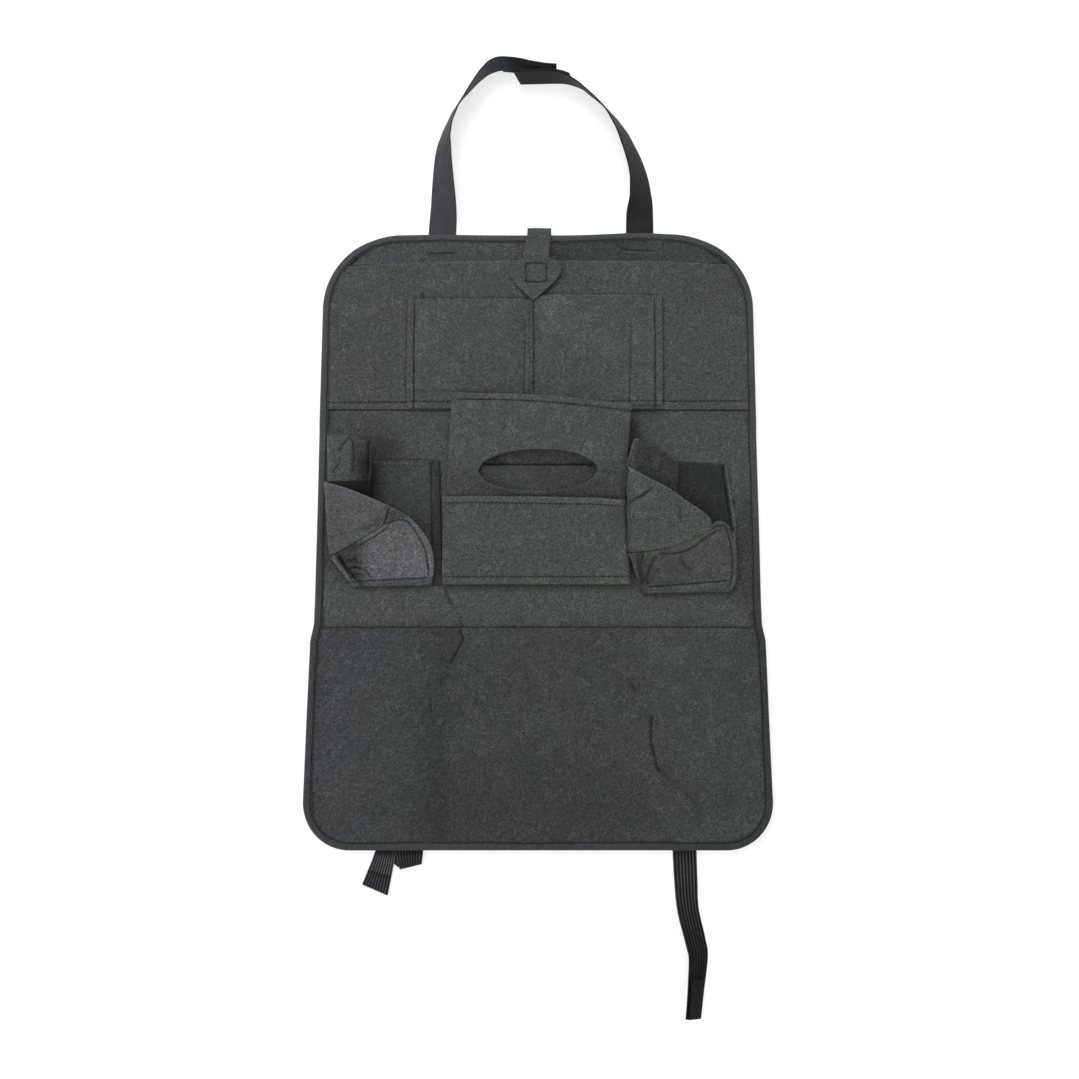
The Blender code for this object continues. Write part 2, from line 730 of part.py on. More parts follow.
def left_elastic():
    x = ELASTIC_LEFT_INSET - PANEL_WIDTH / 2
    w = ELASTIC_WIDTH
    low = ELASTIC / 2
    high = low + ELASTIC + GAP
    bend = (low + high) / 2
    pairs = [
        ((x, 20, low), (x + w + 3, 20, low)),
        ((x, 0, low), (x + w + 3, 0, low)),
        ((x, -2, low), (x + w + 3, -2, low)),
        ((x + 1, -7, high), (x + w + 3, -5, high)),
        ((x + 2.2, -12, high), (x + w + 2.6, -8.5, high)),
        ((x + 3.6, -16.4, high), (x + w + 2.2, -11.9, high)),
        ((x + 3.7, -17.2, bend), (x + w + 2.2, -12.7, bend)),
        ((x + 3.6, -16.4, low), (x + w + 1.6, -11.9, low)),
        ((x - 4, -11, low), (x + w - 11, -7, low)),
        ((x - 15.5, -4.6, low), (x - 1.2, -4.2, low)),
        ((x - 17.6, -3.6, bend), (x - 0.6, -3.2, bend)),
        ((x - 18, -4.6, high), (x - 0.8, -4.2, high)),
        ((x - 20, -9, high), (x - 1.6, -11, high)),
        ((x - 28.4, -30, high), (x - 6.8, -39, high)),
    ]
    rows = []
    for a, b in pairs:
        first = Vector((a[0], BOTTOM + a[1], a[2]))
        last = Vector((b[0], BOTTOM + b[1], b[2]))
        rows.append([first.lerp(last, k / 4) for k in range(5)])
    sheet("left_elastic", rows, ELASTIC, ELASTIC_BLACK)
    start = rows[-2]
    end = rows[-1]
    patch = []
    for t in (0.42, 0.68, 0.94):
        row = []
        for k in range(4):
            s = mix(0.1, 0.9, k / 3)
            p = start[0].lerp(start[-1], s).lerp(end[0].lerp(end[-1], s), t)
            row.append((p.x, p.y, SMALL_PATCH / 2))
        patch.append(row)
    sheet("left_elastic_patch", patch, SMALL_PATCH, WEBBING_BLACK)


def place_origin():
    """Bring the origin to the middle of the underside of everything modelled."""
    bpy.context.view_layer.update()
    graph = bpy.context.evaluated_depsgraph_get()
    corners = []
    for obj in organizer.objects:
        evaluated = obj.evaluated_get(graph)
        mesh = evaluated.to_mesh()
        corners.extend(v.co.copy() for v in mesh.vertices)
        evaluated.to_mesh_clear()
    low = [min(c[k] for c in corners) for k in range(3)]
    high = [max(c[k] for c in corners) for k in range(3)]
    origin.location = (-(low[0] + high[0]) / 2, -(low[1] + high[1]) / 2, -low[2])


for old in list(bpy.data.objects):
    bpy.data.objects.remove(old)
organizer = bpy.data.collections.new("car_organizer")
cutters = bpy.data.collections.new("cutters")
bpy.context.scene.collection.children.link(organizer)
bpy.context.scene.collection.children.link(cutters)
origin = bpy.data.objects.new("origin", None)
bpy.context.scene.collection.objects.link(origin)

back_panel()
edge_binding()
tablet_pocket()
phone_pockets()
tissue_panel()
tissue_flap()
gussets()
center_pocket()
cup_pockets()
map_pocket()
webbing_loop()
closure()
right_elastic()
left_elastic()
place_origin()
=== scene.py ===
# Looks of the felt seat-back organizer. Lengths are in millimetres and are brought to metres
# where a mesh is made. x is right, y runs up the panel from its centre, z is the front.
import math

import bpy
import numpy as np
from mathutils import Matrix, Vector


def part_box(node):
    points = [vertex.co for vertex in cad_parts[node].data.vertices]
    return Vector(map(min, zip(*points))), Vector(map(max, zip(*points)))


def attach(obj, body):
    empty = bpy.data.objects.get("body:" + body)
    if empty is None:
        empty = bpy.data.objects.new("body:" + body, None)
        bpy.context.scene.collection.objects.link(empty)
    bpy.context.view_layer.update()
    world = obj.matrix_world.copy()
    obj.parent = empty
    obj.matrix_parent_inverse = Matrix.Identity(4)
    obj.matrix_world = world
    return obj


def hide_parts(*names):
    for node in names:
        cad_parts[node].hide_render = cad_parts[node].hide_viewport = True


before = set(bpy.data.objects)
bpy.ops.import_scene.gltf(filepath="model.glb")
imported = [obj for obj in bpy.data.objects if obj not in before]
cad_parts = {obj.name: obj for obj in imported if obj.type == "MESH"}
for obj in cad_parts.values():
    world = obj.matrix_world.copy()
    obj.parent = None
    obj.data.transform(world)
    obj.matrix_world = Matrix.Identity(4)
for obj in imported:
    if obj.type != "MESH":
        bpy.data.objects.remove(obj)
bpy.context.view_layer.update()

# Layout, the same values as the solids have
FELT, WEBBING, ELASTIC, TAPE = 1.8, 1.2, 1.2, 0.8
STRAP_PATCH, SMALL_PATCH, GAP = 2.0, 1.2, 0.3
PANEL_HEIGHT, PANEL_WIDTH, FLARE, FLARE_STEP = 558.4, 396.4, 6.0, 3.0
TOP, BOTTOM = PANEL_HEIGHT / 2, -PANEL_HEIGHT / 2
TOP_RADIUS, BOTTOM_RADIUS = 71.0, 40.5
COVER, MARGIN, HEM_RISE = 7.0, 9.0, 6.7
CORNER_SEAM = (12.6, 12.9)
STRAP_WIDTH, ELASTIC_WIDTH = 25.0, 20.0
BACK_MID = WEBBING + GAP + TAPE + GAP + FELT / 2
LAYER = FELT + GAP
BACK_TOP = BACK_MID + FELT / 2
TABLET_TOP, TABLET_LIFT = TOP - 27.9, 5.0
TABLET_BOTTOM = TABLET_TOP - 139.0
PHONE_SEAM, PHONE_BOTTOM, PHONE_LIFT = -4.0, TABLET_BOTTOM + 3, 4.6
PHONE_LEFT = (PHONE_SEAM - GAP / 2 - 115.0, PHONE_SEAM - GAP / 2, 98.0)
PHONE_RIGHT = (PHONE_SEAM + GAP / 2, PHONE_SEAM + GAP / 2 + 117.5, 101.5)
GROUP_BOTTOM, TISSUE_TOP = TABLET_BOTTOM - 161.0, TABLET_BOTTOM + 12.6
TISSUE_HALF, TISSUE_SLANT = 82.0, 13
CENTER_TOP, CENTER_LIFT, FLAP_TOP = GROUP_BOTTOM + 78.0, 6.5, GROUP_BOTTOM + 107.0
SLOT_Y, SLOT_HALF, SLOT_RISE = GROUP_BOTTOM + 102.0, 53.8, 19.0
MAP_TOP, MAP_LIFT = GROUP_BOTTOM - 40.2, 6.0
STRAP_LEFT, STRAP_RIGHT, LOOP_REACH = -102.5, 108.0, 162.2
ELASTIC_LEFT, ELASTIC_RIGHT = -PANEL_WIDTH / 2 + 75.0, PANEL_WIDTH / 2 - 60.7
ELASTIC_REACH = 140.4
low_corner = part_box("back_panel")[0]
SHIFT = np.array([0.0, low_corner.y * 1000 - BOTTOM, low_corner.z * 1000 - BACK_MID + FELT / 2])


# Numbers and curves
def ease(x):
    x = np.clip(x, 0.0, 1.0)
    return x * x * (3 - 2 * x)


def mix(a, b, t):
    return a + (b - a) * t


def wave(x, y, size, seed):
    """Smooth bumps between about -1 and 1, roughly size apart."""
    count = 7
    rng = np.random.default_rng(seed)
    total = np.zeros(np.broadcast(x, y).shape)
    for _ in range(count):
        angle = rng.uniform(0, math.pi)
        rate = rng.uniform(0.55, 1.35) * 2 * math.pi / size
        phase = rng.uniform(0, 2 * math.pi)
        total = total + np.sin((x * math.cos(angle) + y * math.sin(angle)) * rate + phase)
    return total / math.sqrt(count) / 1.3


def catmull(points, count):
    """count + 1 points on a smooth curve through the given ones."""
    p = np.array(points, float)
    p = np.vstack([2 * p[0] - p[1], p, 2 * p[-1] - p[-2]])
    spans = len(p) - 3
    s = np.arange(count + 1) / count * spans
    k = np.minimum(s.astype(int), spans - 1)
    t = (s - k)[:, None]
    a, b, c, d = p[k], p[k + 1], p[k + 2], p[k + 3]
    bend = 2 * a - 5 * b + 4 * c - d
    turn = 3 * b - a - 3 * c + d
    return 0.5 * (2 * b + (c - a) * t + bend * t**2 + turn * t**3)


def spaced(low, high, step, marks, fine=0.6, reach=2.4):
    """Positions from low to high, closer together round the marks."""
    found = list(np.linspace(low, high, max(2, round((high - low) / step)) + 1))
    for mark in marks:
        found = [p for p in found if abs(p - mark) > reach or p in (low, high)]
        extra = np.arange(mark - reach, mark + reach + fine / 2, fine)
        found += [p for p in extra if low + 0.2 < p < high - 0.2]
    found = sorted(found)
    return np.array([p for k, p in enumerate(found) if k == 0 or p - found[k - 1] > 0.05])


def way_along(points):
    """Length from the first point to each point of a polyline."""
    steps = np.linalg.norm(np.diff(points, axis=0), axis=1)
    return np.concatenate([[0], np.cumsum(steps)])


def resample(points, step):
    """Points a step apart along a polyline."""
    along = way_along(points)
    at = np.arange(0, along[-1] + 1e-6, step)
    return np.stack([np.interp(at, along, points[:, k]) for k in range(3)], 1)


def bell(d, width):
    """1 at d = 0, fading out over the width to both sides."""
    return np.exp(-((d / width) ** 2))


def spot(x, y, cx, cy, wide, high):
    """1 at the centre, fading out all round."""
    return np.exp(-(((x - cx) / wide) ** 2) - ((y - cy) / high) ** 2)


def line_distance(x, y, line):
    """Distance to a bent line, the side of it (1 on its left) and the share of its length."""
    line = np.array(line, float)
    along = way_along(line)
    best = np.full(x.shape, 1e9)
    side = np.zeros(x.shape)
    share = np.zeros(x.shape)
    for k, size in enumerate(np.linalg.norm(np.diff(line, axis=0), axis=1)):
        ax, ay = line[k]
        dx, dy = (line[k + 1] - line[k]) / size
        t = np.clip((x - ax) * dx + (y - ay) * dy, 0, size)
        px, py = x - ax - dx * t, y - ay - dy * t
        d = np.hypot(px, py)
        near = d < best
        best = np.where(near, d, best)
        side = np.where(near, np.sign(dx * py - dy * px), side)
        share = np.where(near, (along[k] + t) / along[-1], share)
    return best, side, share


def crease(x, y, line, width, depth):
    """Height change along a bent fold line: a valley with a lip on the line's left side."""
    lip = 0.6
    best, side, share = line_distance(x, y, line)
    taper = np.sqrt(np.clip(np.sin(math.pi * np.clip(share, 0.02, 0.98)), 0, 1))
    signed = best * side
    return depth * taper * (lip * bell(signed - 1.6 * width, 1.5 * width) - bell(signed, width))


def times(tone, *factors):
    """The tone times each factor, which has one number a point."""
    for factor in factors:
        tone = tone * factor[..., None]
    return tone


def tinge(tone, share, colour):
    """The tone with a share of a colour change."""
    return tone * (1 + share[..., None] * np.array(colour))


def dark_line(x, y, line, width, amount):
    """Colour factor that darkens along a bent line."""
    best, _, share = line_distance(x, y, line)
    ends = ease(share / 0.04) * ease((1 - share) / 0.04)
    return 1 - amount * ends * bell(best, width)


def groove(d, depth=0.55, width=0.8):
    return -depth * bell(d, width)


# Materials
def new_node(tree, kind, values=None, **settings):
    node = tree.nodes.new(kind)
    for key, value in settings.items():
        setattr(node, key, value)
    for key, value in (values or {}).items():
        if isinstance(value, bpy.types.NodeSocket):
            tree.links.new(value, node.inputs[key])
        else:
            node.inputs[key].default_value = value
    return node


def math_node(tree, operation, *values):
    return new_node(tree, "ShaderNodeMath", dict(enumerate(values)), operation=operation).outputs[0]


def weighted(tree, *terms):
    """The sum of values, each times its weight."""
    total = None
    for value, weight in terms:
        part = math_node(tree, "MULTIPLY", value, weight)
        total = part if total is None else math_node(tree, "ADD", total, part)
    return total


def vector_node(tree, operation, *values):
    node = new_node(tree, "ShaderNodeVectorMath", dict(enumerate(values)), operation=operation)
    return node.outputs[0]


def mix_colour(tree, factor, a, b, blend="MIX"):
    node = new_node(tree, "ShaderNodeMix", data_type="RGBA", blend_type=blend)
    for socket, value in ((node.inputs[0], factor), (node.inputs[6], a), (node.inputs[7], b)):
        if isinstance(value, bpy.types.NodeSocket):
            tree.links.new(value, socket)
        else:
            socket.default_value = value
    return node.outputs[2]


def multiplied(tree, a, b):
    return mix_colour(tree, 1.0, a, b, "MULTIPLY")


def noise(tree, place, scale, detail=2.0, rough=0.5, distort=0.0):
    values = {"Vector": place, "Scale": scale, "Detail": detail, "Roughness": rough}
    values["Distortion"] = distort
    return new_node(tree, "ShaderNodeTexNoise", values).outputs["Fac"]


def ramp(tree, value, low, high):
    values = {"Value": value, "From Min": low, "From Max": high}
    return new_node(tree, "ShaderNodeMapRange", values, interpolation_type="SMOOTHSTEP").outputs[0]


def start_material(name, roughness, sheen, specular):
    material = bpy.data.materials.new(name)
    material.use_nodes = True
    tree = material.node_tree
    shader = tree.nodes["Principled BSDF"]
    shader.inputs["Roughness"].default_value = roughness
    shader.inputs["Metallic"].default_value = 0.0
    shader.inputs["Specular IOR Level"].default_value = specular
    shader.inputs["Sheen Weight"].default_value = sheen
    shader.inputs["Sheen Roughness"].default_value = 0.45
    return material, tree, shader


def end_material(tree, shader, colour, height, strength, distance):
    """The colour times the mesh's tone, and a bump from the height."""
    tone = new_node(tree, "ShaderNodeAttribute", attribute_name="tone").outputs["Color"]
    tree.links.new(multiplied(tree, colour, tone), shader.inputs["Base Color"])
    values = {"Height": height, "Strength": strength, "Distance": distance}
    tree.links.new(new_node(tree, "ShaderNodeBump", values).outputs[0], shader.inputs["Normal"])


def fibres(tree, place, turns, width, length):
    """Thin curved strands in several directions, as bright lines on black."""
    total = None
    for k, turn in enumerate(turns):
        long = (length + 0.4 * k) / 1000
        mapping = new_node(tree, "ShaderNodeMapping", {"Vector": place}, vector_type="TEXTURE")
        mapping.inputs["Rotation"].default_value = (0, 0, turn)
        mapping.inputs["Scale"].default_value = (width / 1000, long, long)
        mapping.inputs["Location"].default_value = (turn * 7, turn * 13, 0)
        layer = ramp(tree, noise(tree, mapping.outputs[0], 1.0, 1.0, 0.4, 0.5), 0.6, 0.7)
        total = layer if total is None else math_node(tree, "MAXIMUM", total, layer)
    return total


def felt_material(name, base, fleck, warm, fleck_amount, contrast):
    material, tree, shader = start_material(name, 0.92, 0.12, 0.25)
    place = new_node(tree, "ShaderNodeTexCoord").outputs["Object"]
    patches = noise(tree, place, 26.0, 3.0, 0.55)
    mottle = noise(tree, place, 210.0, 4.0, 0.65)
    grain = noise(tree, place, 800.0, 2.0, 0.6)
    sway = new_node(tree, "ShaderNodeTexNoise", {"Vector": place, "Scale": 260.0}).outputs["Color"]
    sway = vector_node(tree, "SCALE", sway)
    sway.node.inputs["Scale"].default_value = 0.0022
    bent = vector_node(tree, "ADD", place, sway)
    strands = fibres(tree, bent, (0.2, 0.85, 1.5, 2.05, 2.7), 0.52, 2.2)
    # Painted shade between the fibres: dark strands that also sink into the bump
    shade = fibres(tree, bent, (0.5, 1.2, 2.4), 0.65, 1.9)
    clusters = ramp(tree, noise(tree, place, 75.0, 2.0, 0.6), 0.4, 0.62)
    clusters = math_node(tree, "ADD", math_node(tree, "MULTIPLY", clusters, 0.45), 0.55)
    strands = math_node(tree, "MULTIPLY", strands, clusters)
    dark = tuple(c * (1 - contrast) for c in base)
    light = tuple(c * (1 + contrast) for c in base)
    deep = tuple(c * 0.42 for c in base)
    colour = mix_colour(tree, ramp(tree, grain, 0.25, 0.75), (*dark, 1), (*light, 1))
    dull = multiplied(tree, colour, (0.85, 0.85, 0.85, 1))
    colour = mix_colour(tree, ramp(tree, mottle, 0.3, 0.7), dull, colour)
    tint = multiplied(tree, colour, (*warm, 1))
    colour = mix_colour(tree, ramp(tree, patches, 0.35, 0.65), colour, tint)
    colour = mix_colour(tree, math_node(tree, "MULTIPLY", shade, 0.75), colour, (*deep, 1))
    amount = math_node(tree, "MULTIPLY", strands, fleck_amount)
    colour = mix_colour(tree, amount, colour, (*fleck, 1))
    height = weighted(tree, (grain, 0.8), (strands, 0.5), (mottle, 1.6), (shade, -0.5))
    end_material(tree, shader, colour, height, 0.6, 0.0007)
    return material


def woven_material(name, base, light, across, along, roughness, sheen, strength):
    """A weave on UV in millimetres: ribs lie across by one pitch and threads along by another."""
    material, tree, shader = start_material(name, roughness, sheen, 0.1)
    uv = new_node(tree, "ShaderNodeTexCoord").outputs["UV"]
    uv = new_node(tree, "ShaderNodeSeparateXYZ", {"Vector": uv})
    ribs = math_node(tree, "MULTIPLY", uv.outputs[0], 2 * math.pi / across)
    ribs = math_node(tree, "SINE", ribs)
    threads = weighted(tree, (uv.outputs[1], 2 * math.pi / along), (ribs, 1.3))
    threads = math_node(tree, "SINE", threads)
    height = weighted(tree, (threads, 0.5), (ribs, 0.5))
    place = new_node(tree, "ShaderNodeTexCoord").outputs["Object"]
    fuzz = noise(tree, place, 1100.0, 2.0, 0.6)
    worn = noise(tree, place, 90.0, 3.0, 0.6)
    # Painted light on the raised threads and painted shade between them, with fuzz
    factor = weighted(tree, (height, 0.35), (fuzz, 0.9))
    colour = mix_colour(tree, ramp(tree, factor, -0.1, 1.0), (*base, 1), (*light, 1))
    bright = multiplied(tree, colour, (1.25, 1.25, 1.25, 1))
    colour = mix_colour(tree, ramp(tree, worn, 0.35, 0.75), colour, bright)
    height = weighted(tree, (height, 1.0), (fuzz, 0.7))
    end_material(tree, shader, colour, height, strength, 0.0003)
    return material


def thread_material(name, base):
    material, tree, shader = start_material(name, 0.6, 0.1, 0.25)
    place = new_node(tree, "ShaderNodeTexCoord").outputs["Object"]
    light = tuple(c * 1.9 for c in base)
    colour = mix_colour(tree, noise(tree, place, 1600.0), (*base, 1), (*light, 1))
    tree.links.new(colour, shader.inputs["Base Color"])
    return material


FELT_LOOK = felt_material(
    "felt_charcoal", (0.0595, 0.0705, 0.0668), (0.25, 0.275, 0.263), (1.05, 1.0, 0.98), 0.45, 0.4
)
TAPE_LOOK = felt_material(
    "binding_tape", (0.055, 0.058, 0.059), (0.11, 0.112, 0.115), (1.02, 0.99, 1.03), 0.2, 0.18
)
WEBBING_LOOK = woven_material(
    "webbing_black", (0.024, 0.025, 0.03), (0.05, 0.052, 0.058), 2.1, 1.4, 0.6, 0.05, 0.6
)
ELASTIC_LOOK = woven_material(
    "elastic_black", (0.012, 0.012, 0.014), (0.035, 0.036, 0.04), 2.2, 0.8, 0.65, 0.04, 0.45
)
PATCH_LOOK = woven_material(
    "hook_and_loop_grey", (0.03, 0.033, 0.035), (0.075, 0.08, 0.08), 1.0, 1.0, 0.8, 0.05, 1.0
)
THREAD_LOOK = thread_material("sewing_thread", (0.012, 0.013, 0.013))


# Meshes
def make_piece(name, verts, faces, material, tone=None, uv=None, angle=60):
    mesh = bpy.data.meshes.new(name)
    mesh.from_pydata(((verts + SHIFT) * 0.001).tolist(), [], faces)
    obj = bpy.data.objects.new(name, mesh)
    bpy.context.scene.collection.objects.link(obj)
    mesh.materials.append(material)
    mesh.shade_smooth()
    mesh.set_sharp_from_angle(angle=math.radians(angle))
    if tone is None:
        tone = np.ones((len(verts), 3))
    if tone.ndim == 1:
        tone = np.repeat(tone[:, None], 3, 1)
    layer = mesh.attributes.new("tone", "FLOAT_COLOR", "POINT")
    layer.data.foreach_set("color", np.hstack([tone, np.ones((len(verts), 1))]).ravel())
    if uv is not None:
        index = np.zeros(len(mesh.loops), int)
        mesh.loops.foreach_get("vertex_index", index)
        mesh.uv_layers.new(name="UVMap").data.foreach_set("uv", uv[index].ravel())
    return obj


def normals(P, closed=False):
    if closed:
        wrap = np.concatenate([P[:, -1:], P, P[:, :1]], 1)
        du = np.gradient(wrap, axis=1)[:, 1:-1]
    else:
        du = np.gradient(P, axis=1)
    N = np.cross(du, np.gradient(P, axis=0))
    return N / np.maximum(np.linalg.norm(N, axis=2, keepdims=True), 1e-9)


CLOTHS = {
    "felt": ("_felt", FELT_LOOK, FELT),
    "webbing": ("_webbing", WEBBING_LOOK, WEBBING),
    "elastic": ("_band", ELASTIC_LOOK, ELASTIC),
    "hook_and_loop": ("_pile", PATCH_LOOK, SMALL_PATCH),
}


def shell(P, up, down, closed):
    """Vertices, faces and source index of a closed skin round the grid of points P."""
    round_out = 0.35
    m, n, _ = P.shape
    N = normals(P, closed)
    up = np.broadcast_to(np.asarray(up, float), (m, n))
    down = np.broadcast_to(np.asarray(down, float), (m, n))
    top = (P + N * up[..., None]).reshape(-1, 3)
    low = (P - N * down[..., None]).reshape(-1, 3)
    columns = n if closed else n - 1
    j, i = np.meshgrid(np.arange(m - 1), np.arange(columns), indexing="ij")
    a = (j * n + i).ravel()
    b = (j * n + (i + 1) % n).ravel()
    quads = np.stack([a, b, b + n, a + n], 1)
    faces = [quads, quads[:, ::-1] + m * n]
    if closed:
        loops = [np.arange(n), np.arange(n)[::-1] + (m - 1) * n]
    else:
        right = np.arange(1, m) * n + n - 1
        top_row = (m - 1) * n + np.arange(n - 2, -1, -1)
        left = np.arange(m - 2, 0, -1) * n
        loops = [np.concatenate([np.arange(n), right, top_row, left])]
    flat, norm = P.reshape(-1, 3), N.reshape(-1, 3)
    ups, downs = up.ravel(), down.ravel()
    verts = [top, low]
    source = [np.arange(m * n), np.arange(m * n)]
    base = 2 * m * n
    for loop in loops:
        T = np.roll(flat[loop], -1, 0) - np.roll(flat[loop], 1, 0)
        out = np.cross(T, norm[loop])
        out /= np.maximum(np.linalg.norm(out, axis=1, keepdims=True), 1e-9)
        rings = [loop]
        for angle in (50, 90, 130):
            c, s = math.cos(math.radians(angle)), math.sin(math.radians(angle))
            side = np.where(c > 0, ups[loop], downs[loop]) * c
            reach = (ups[loop] + downs[loop]) * round_out * s
            verts.append(flat[loop] + norm[loop] * side[:, None] + out * reach[:, None])
            source.append(loop)
            rings.append(base + np.arange(len(loop)))
            base += len(loop)
        rings.append(loop + m * n)
        for r, q in zip(rings, rings[1:]):
            faces.append(np.stack([r, q, np.roll(q, -1), np.roll(r, -1)], 1))
    return np.vstack(verts), np.vstack(faces).tolist(), np.concatenate(source)


def stand_in(obj, node):
    """Makes the piece stand for a solid and move with the panel."""
    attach(obj, "root")
    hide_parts(node)


def cloth(
    node, P, slot="felt", up=None, down=None, thickness=None, tone=None, uv=None, closed=False
):
    """A sheet piece that stands for a solid."""
    ending, look, usual = CLOTHS[slot]
    half = (thickness or usual) / 2
    up = half if up is None else up
    down = half if down is None else down
    verts, faces, source = shell(P, up, down, closed)
    if tone is not None:
        tone = (tone.reshape(-1, 3) if tone.ndim == 3 else tone.ravel())[source]
    coords = None if uv is None else uv.reshape(-1, 2)[source]
    obj = make_piece(node + ending, verts, faces, look, tone, coords)
    stand_in(obj, node)
    return obj


def sewn(x, y, height, sink):
    """Points of a seam, its thread sunk a little into the felt's face."""
    y = y + 0 * x
    return np.column_stack([x, y, height(x, y) + FELT / 2 - sink])


def stitches(name, runs, owner, pitch, length, radius):
    """Raised thread stitches along runs of points."""
    sides, rings = 6, 5
    starts, ends = [], []
    for points in runs:
        p = resample(points, pitch / 8)
        span = round(length / pitch * 8)
        for k in range(2, len(p) - span - 1, 8):
            starts.append(p[k])
            ends.append(p[k + span])
    a, b = np.array(starts), np.array(ends)
    along = b - a
    side = np.cross(along, np.array([0.0, 0.0, 1.0]))
    side /= np.linalg.norm(side, axis=1, keepdims=True)
    rise = np.cross(side, along)
    rise /= np.linalg.norm(rise, axis=1, keepdims=True)
    shares = np.array([0.0, 0.14, 0.5, 0.86, 1.0])[None, :, None]
    lifts = np.array([-0.45, 0.05, 0.18, 0.05, -0.45])[None, :, None] * radius / 0.3
    radii = np.array([0.5, 0.95, 1.0, 0.95, 0.5])[None, :, None, None] * radius
    turn = (np.arange(sides) * math.pi / 3)[None, :, None]
    centre = a[:, None] + along[:, None] * shares + rise[:, None] * lifts
    ring = side[:, None] * np.cos(turn) + rise[:, None] * np.sin(turn)
    verts = centre[:, :, None] + ring[:, None] * radii
    faces = []
    for base in range(0, len(a) * rings * sides, rings * sides):
        for k in range(base, base + (rings - 1) * sides, sides):
            for s in range(sides):
                t = (s + 1) % sides
                faces.append([k + s, k + t, k + sides + t, k + sides + s])
    for base in range(0, len(a) * rings * sides, rings * sides):
        last = base + (rings - 1) * sides
        faces.append(list(range(base + sides - 1, base - 1, -1)))
        faces.append(list(range(last, last + sides)))
    obj = make_piece(name, verts.reshape(-1, 3), faces, THREAD_LOOK)
    obj.parent = owner
    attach(obj, "root")


# The panel's outline and the heights of the layers
def rounded(corners, step):
    points, spokes = [], []
    count = len(corners)
    for k in range(count):
        here = np.array(corners[k][:2], float)
        before = np.array(corners[k - 1][:2]) - here
        after = np.array(corners[(k + 1) % count][:2]) - here
        before, after = before / np.linalg.norm(before), after / np.linalg.norm(after)
        half = math.acos(np.clip(before @ after, -1, 1)) / 2
        radius = corners[k][2]
        middle = (before + after) / np.linalg.norm(before + after)
        centre = here + middle * radius / math.sin(half)
        start = here + before * radius / math.tan(half) - centre
        first = math.atan2(start[1], start[0])
        turn = math.pi - 2 * half
        convex = before[0] * after[1] - before[1] * after[0] > 0
        pieces = max(2, round(math.degrees(turn) / step))
        for i in range(pieces + 1):
            angle = first + (-turn if convex else turn) * i / pieces
            spoke = np.array([math.cos(angle), math.sin(angle)])
            points.append(centre + spoke * radius)
            spokes.append(spoke if convex else -spoke)
    return np.array(points), np.array(spokes)


def panel_outline():
    half = PANEL_WIDTH / 2
    step_top = MAP_TOP + 4
    right = [
        (half, TOP, TOP_RADIUS),
        (half, step_top, 30),
        (half + FLARE_STEP, step_top - 14, 30),
        (half + FLARE, BOTTOM, BOTTOM_RADIUS),
    ]
    left = [(-x, y, r) for x, y, r in reversed(right)]
    return rounded(right + left, 3)


OUTLINE, SPOKES = panel_outline()
PANEL_SIDE = OUTLINE[OUTLINE[:, 0] > 0]
PANEL_SIDE = PANEL_SIDE[np.argsort(PANEL_SIDE[:, 1], kind="stable")]


def half_width(y):
    return np.interp(y, PANEL_SIDE[:, 1], PANEL_SIDE[:, 0]) - GAP


def panel_wave(x, y):
    """A gentle unevenness that every layer follows."""
    return ease((TOP - 14 - y) / 60) * (0.75 + 0.7 * wave(x, y, 170, 5))


def edge_share(x, y):
    """0 in the margin along the sides, 1 from a run further in."""
    run = 45
    return ease((half_width(y) - np.abs(x) - MARGIN) / run)


def back_height(x, y):
    return BACK_MID + panel_wave(x, y)


def tablet_bow(x):
    """How far the tablet pocket's top edge runs off its straight line."""
    return 0.8 - 3.4 * ease((-x - 20) / 160) - 1.6 * ease((x - 60) / 110)


def tablet_height(x, y):
    rise = TABLET_LIFT * edge_share(x, y) * ease((y - TABLET_BOTTOM - MARGIN) / 45)
    return BACK_MID + LAYER + rise * (1 + 0.12 * wave(x, y, 120, 21)) + panel_wave(x, y)


def phone_height(x, y, left, right):
    sides = ease((x - left - 4) / 18) * ease((right - x - 4) / 18)
    lift = PHONE_LIFT * sides * ease((y - PHONE_BOTTOM - MARGIN) / 42)
    return tablet_height(x, y) + LAYER + lift * (1 + 0.12 * wave(x, y, 60, 31))


def map_height(x, y):
    rise = MAP_LIFT * edge_share(x, y) * ease((y - BOTTOM - MARGIN) / 45)
    return BACK_MID + LAYER + rise * (1 + 0.15 * wave(x, y, 110, 41)) + panel_wave(x, y)


def tissue_share(y):
    return (y - GROUP_BOTTOM) / (TISSUE_TOP - GROUP_BOTTOM)


def tissue_left(y):
    return -TISSUE_HALF - mix(3, -4.4, tissue_share(y))


def tissue_right(y):
    share = tissue_share(y)
    pinch = 5.4 * np.sin(math.pi * np.clip(share, 0, 1))
    return TISSUE_HALF + mix(0.7, 3.4, share) - pinch


def tissue_height(x, y):
    u = np.clip((x - tissue_left(y)) / (tissue_right(y) - tissue_left(y)), 0, 1)
    rise = ease((y - CENTER_TOP + 14) / 60)
    stand = (5 + 9 * u + 3 * np.sin(math.pi * u)) * rise
    return BACK_MID + 2 * LAYER + stand * (1 + 0.06 * wave(x, y, 90, 51)) + panel_wave(x, y)


def center_height(x, y):
    u = np.clip((x + TISSUE_HALF + 3) / (tissue_right(y) + TISSUE_HALF + 3), 0, 1)
    lift = CENTER_LIFT * ease(u / 0.2) * ease((1 - u) / 0.2)
    lift = lift * ease((y - GROUP_BOTTOM - MARGIN) / 30)
    return tissue_height(x, y) + LAYER + lift * (1 + 0.1 * wave(x, y, 70, 61))


